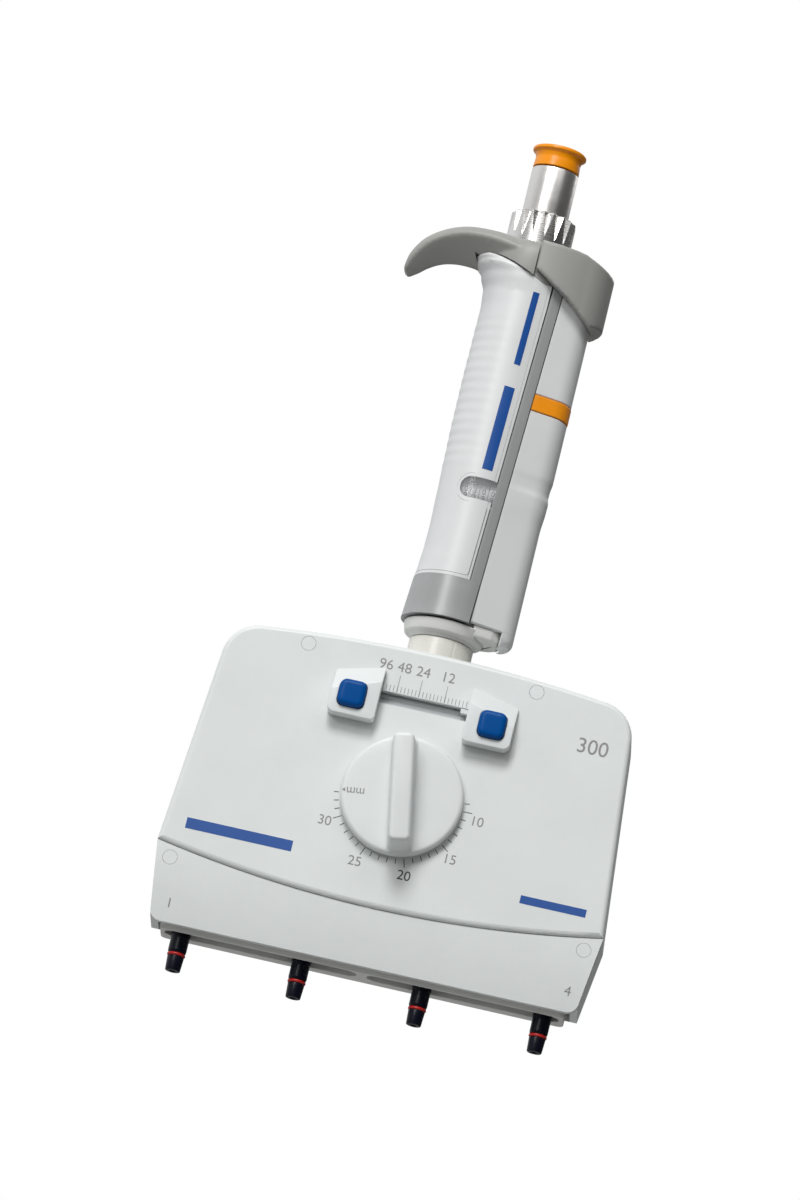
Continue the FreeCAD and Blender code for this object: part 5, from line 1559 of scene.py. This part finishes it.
# %% Plain blue bars
panel_bars = ([], [])
stroke(panel_bars, on_panel, (-40.0, 38.0), 14.5, 1.5)
stroke(panel_bars, on_panel, (46.0, 37.6), 9.0, 1.1)
finish_print("panel_blue_bars", panel_bars, "lower_housing", PRINT_BLUE)
grip_bars = ([], [])
stroke(grip_bars, on_handle(1.9, 163.5, GRIP_R + 0.02), (0.0, 0.0), 12.0, 1.45, math.pi / 2 - 0.03, 12)
stroke(grip_bars, on_handle(3.0, 192.5, GRIP_R + 0.02), (0.0, 0.0), 10.5, 0.9, math.pi / 2 - 0.03, 12)
finish_print("grip_blue_bars", grip_bars, "handle", PRINT_BLUE)

# %% Digits on the counter wheels
WHEEL_R = (box_mm("digit_wheel_1")[1].z - box_mm("digit_wheel_1")[0].z) / 2
wheel_middle = (box_mm("digit_wheel_1")[0] + box_mm("digit_wheel_1")[1]) / 2
for n, first in zip(range(1, 5), (0, 3, 0, 0)):
    wheel_x = sum(box_mm(f"digit_wheel_{n}")[k].x for k in (0, 1)) / 2
    sheet = ([], [])
    for k in range(10):
        a = 2 * math.pi * k / 10

        def on_wheel(u, v, h, a=a, x=wheel_x):
            turn, radius = a + v / WHEEL_R, WHEEL_R + h
            return (x + u, wheel_middle.y - radius * math.cos(turn), wheel_middle.z + radius * math.sin(turn))

        digits(sheet, str((first + k) % 10), 1.45, on_wheel, (0.0, 0.0))
    finish_print(f"wheel_digits_{n}", sheet, f"digit_wheel_{n}", PRINT_DARK)

# %% [markdown]
# ## Springs and hoses
# Springs shorten as their joint moves, and the four hoses bend from the fixed cylinders to the
# sliding cones. Both are round wires swept along a path.

# %% Springs


def sweep(name, path, radius, sides=10):
    """A round wire along a path of points."""
    rings = []
    side = Vector((1.0, 0.0, 0.0))
    for i, point in enumerate(path):
        ahead = (path[min(i + 1, len(path) - 1)] - path[max(i - 1, 0)]).normalized()
        side = (side - ahead * side.dot(ahead)).normalized()
        other = ahead.cross(side)
        rings.append([point + (side * math.cos(a) + other * math.sin(a)) * radius
                      for a in [2 * math.pi * k / sides for k in range(sides)]])
    return rings_object(name, rings)


def coil_path(centre, axis, start, end, radius, wire, turns):
    """A helix with nearly flat end coils, along an axis from start to end."""
    axis = Vector(axis)
    first = axis.orthogonal().normalized()
    second = axis.cross(first)
    path = []
    count = int(turns * 28)
    for k in range(count + 1):
        share = k / count
        rise = share - math.sin(4 * math.pi * share) / (4 * math.pi) * 0.25
        a = 2 * math.pi * turns * share
        along_axis = start + wire + (end - start - 2 * wire) * rise
        around = (first * math.cos(a) + second * math.sin(a)) * radius
        path.append(Vector(centre) + axis * along_axis + around)
    return path


SPRINGS = [
    ("plunger_spring", "handle", "plunger_slide", (0, 0, 1), 3.99, 0.34, 7, 0.0125, "low"),
    ("ejector_spring", "handle", "ejector_slide", (0, 0, 1), 1.85, 0.24, 9, 0.0045, "low"),
    ("button_spring_left", "stop_left", "button_left_press", (0, 1, 0), 1.8, 0.24, 1.5, 0.001, "high"),
    ("button_spring_right", "stop_right", "button_right_press", (0, 1, 0), 1.8, 0.24, 1.5, 0.001, "high"),
]
for node, body, joint, axis, radius, wire, turns, travel, fixed in SPRINGS:
    low, high = box_mm(node)
    centre = (low + high) / 2
    axis_k = axis.index(1)
    start, end = low[axis_k], high[axis_k]
    flat_centre = [0.0 if k == axis_k else centre[k] for k in range(3)]
    wound = sweep(f"wound_{node}", coil_path(flat_centre, axis, start, end, radius, wire, turns), wire)
    finish_piece(wound, body, SPRING_STEEL, [node], sharp=60.0)
    anchor = [c * MM for c in flat_centre]
    anchor[axis_k] = (start if fixed == "low" else end) * MM
    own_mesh(wound)

# %% Hoses
HOSE_Y, HOSE_R = 5.0, 1.0
CYLINDER_X = (-13.5, -4.5, 4.5, 13.5)
hose_low, hose_high = box_mm("air_hoses")
for n in range(1, 5):
    low, high = box_mm(f"tip_cone_{n}")
    start_x, end_x = CYLINDER_X[n - 1], (low.x + high.x) / 2
    run_z = 42.0 if n in (1, 4) else 39.3
    side = 1.0 if end_x > start_x else -1.0
    bend = min(hose_high.z - run_z, run_z - hose_low.z)
    path = [Vector((start_x, HOSE_Y, hose_high.z)), Vector((start_x, HOSE_Y, run_z + bend + 0.01))]
    path += [Vector((start_x + side * bend * (1 - math.cos(a)), HOSE_Y, run_z + bend * (1 - math.sin(a))))
             for a in [math.pi / 2 * k / 8 for k in range(1, 9)]]
    run = abs(end_x - start_x) - 2 * bend
    path += [Vector((start_x + side * (bend + run * k / 12), HOSE_Y, run_z)) for k in range(1, 12)]
    path += [Vector((end_x - side * bend * (1 - math.sin(a)), HOSE_Y, run_z - bend * (1 - math.cos(a))))
             for a in [math.pi / 2 * k / 8 for k in range(9)]]
    path += [Vector((end_x, HOSE_Y, hose_low.z))]
    path = [p for i, p in enumerate(path) if i == 0 or (p - path[i - 1]).length > 1e-4]
    hose = sweep(f"air_hose_{n}", path, HOSE_R - 0.02, 16)
    mesh = hose.data
    mesh.polygons.foreach_set("use_smooth", [True] * len(mesh.polygons))
    mesh.materials.append(HOSE_MILKY)
    if n == 1:
        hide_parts("air_hoses")
    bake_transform(hose)

# %% [markdown]
# ## Floor
# A plain pale disc lies a good way below the pipette. It only gives light back from underneath, as
# the studio's table does.

# %% Floor
FLOOR_R, FLOOR_Z = 2.2, -1.3
FLOOR_PALE = moulded("floor_pale", (0.52, 0.52, 0.51), 0.6, grain=90.0, depth=0.05, corner_shade=0.0, edge_sheen=0.0)
floor_mesh = bpy.data.meshes.new("studio_floor")
maker = bmesh.new()
bmesh.ops.create_circle(maker, cap_ends=True, segments=96, radius=FLOOR_R)
maker.to_mesh(floor_mesh)
maker.free()
floor_mesh.materials.append(FLOOR_PALE)
floor = bpy.data.objects.new("studio_floor", floor_mesh)
floor.location.z = FLOOR_Z
scene.collection.objects.link(floor)
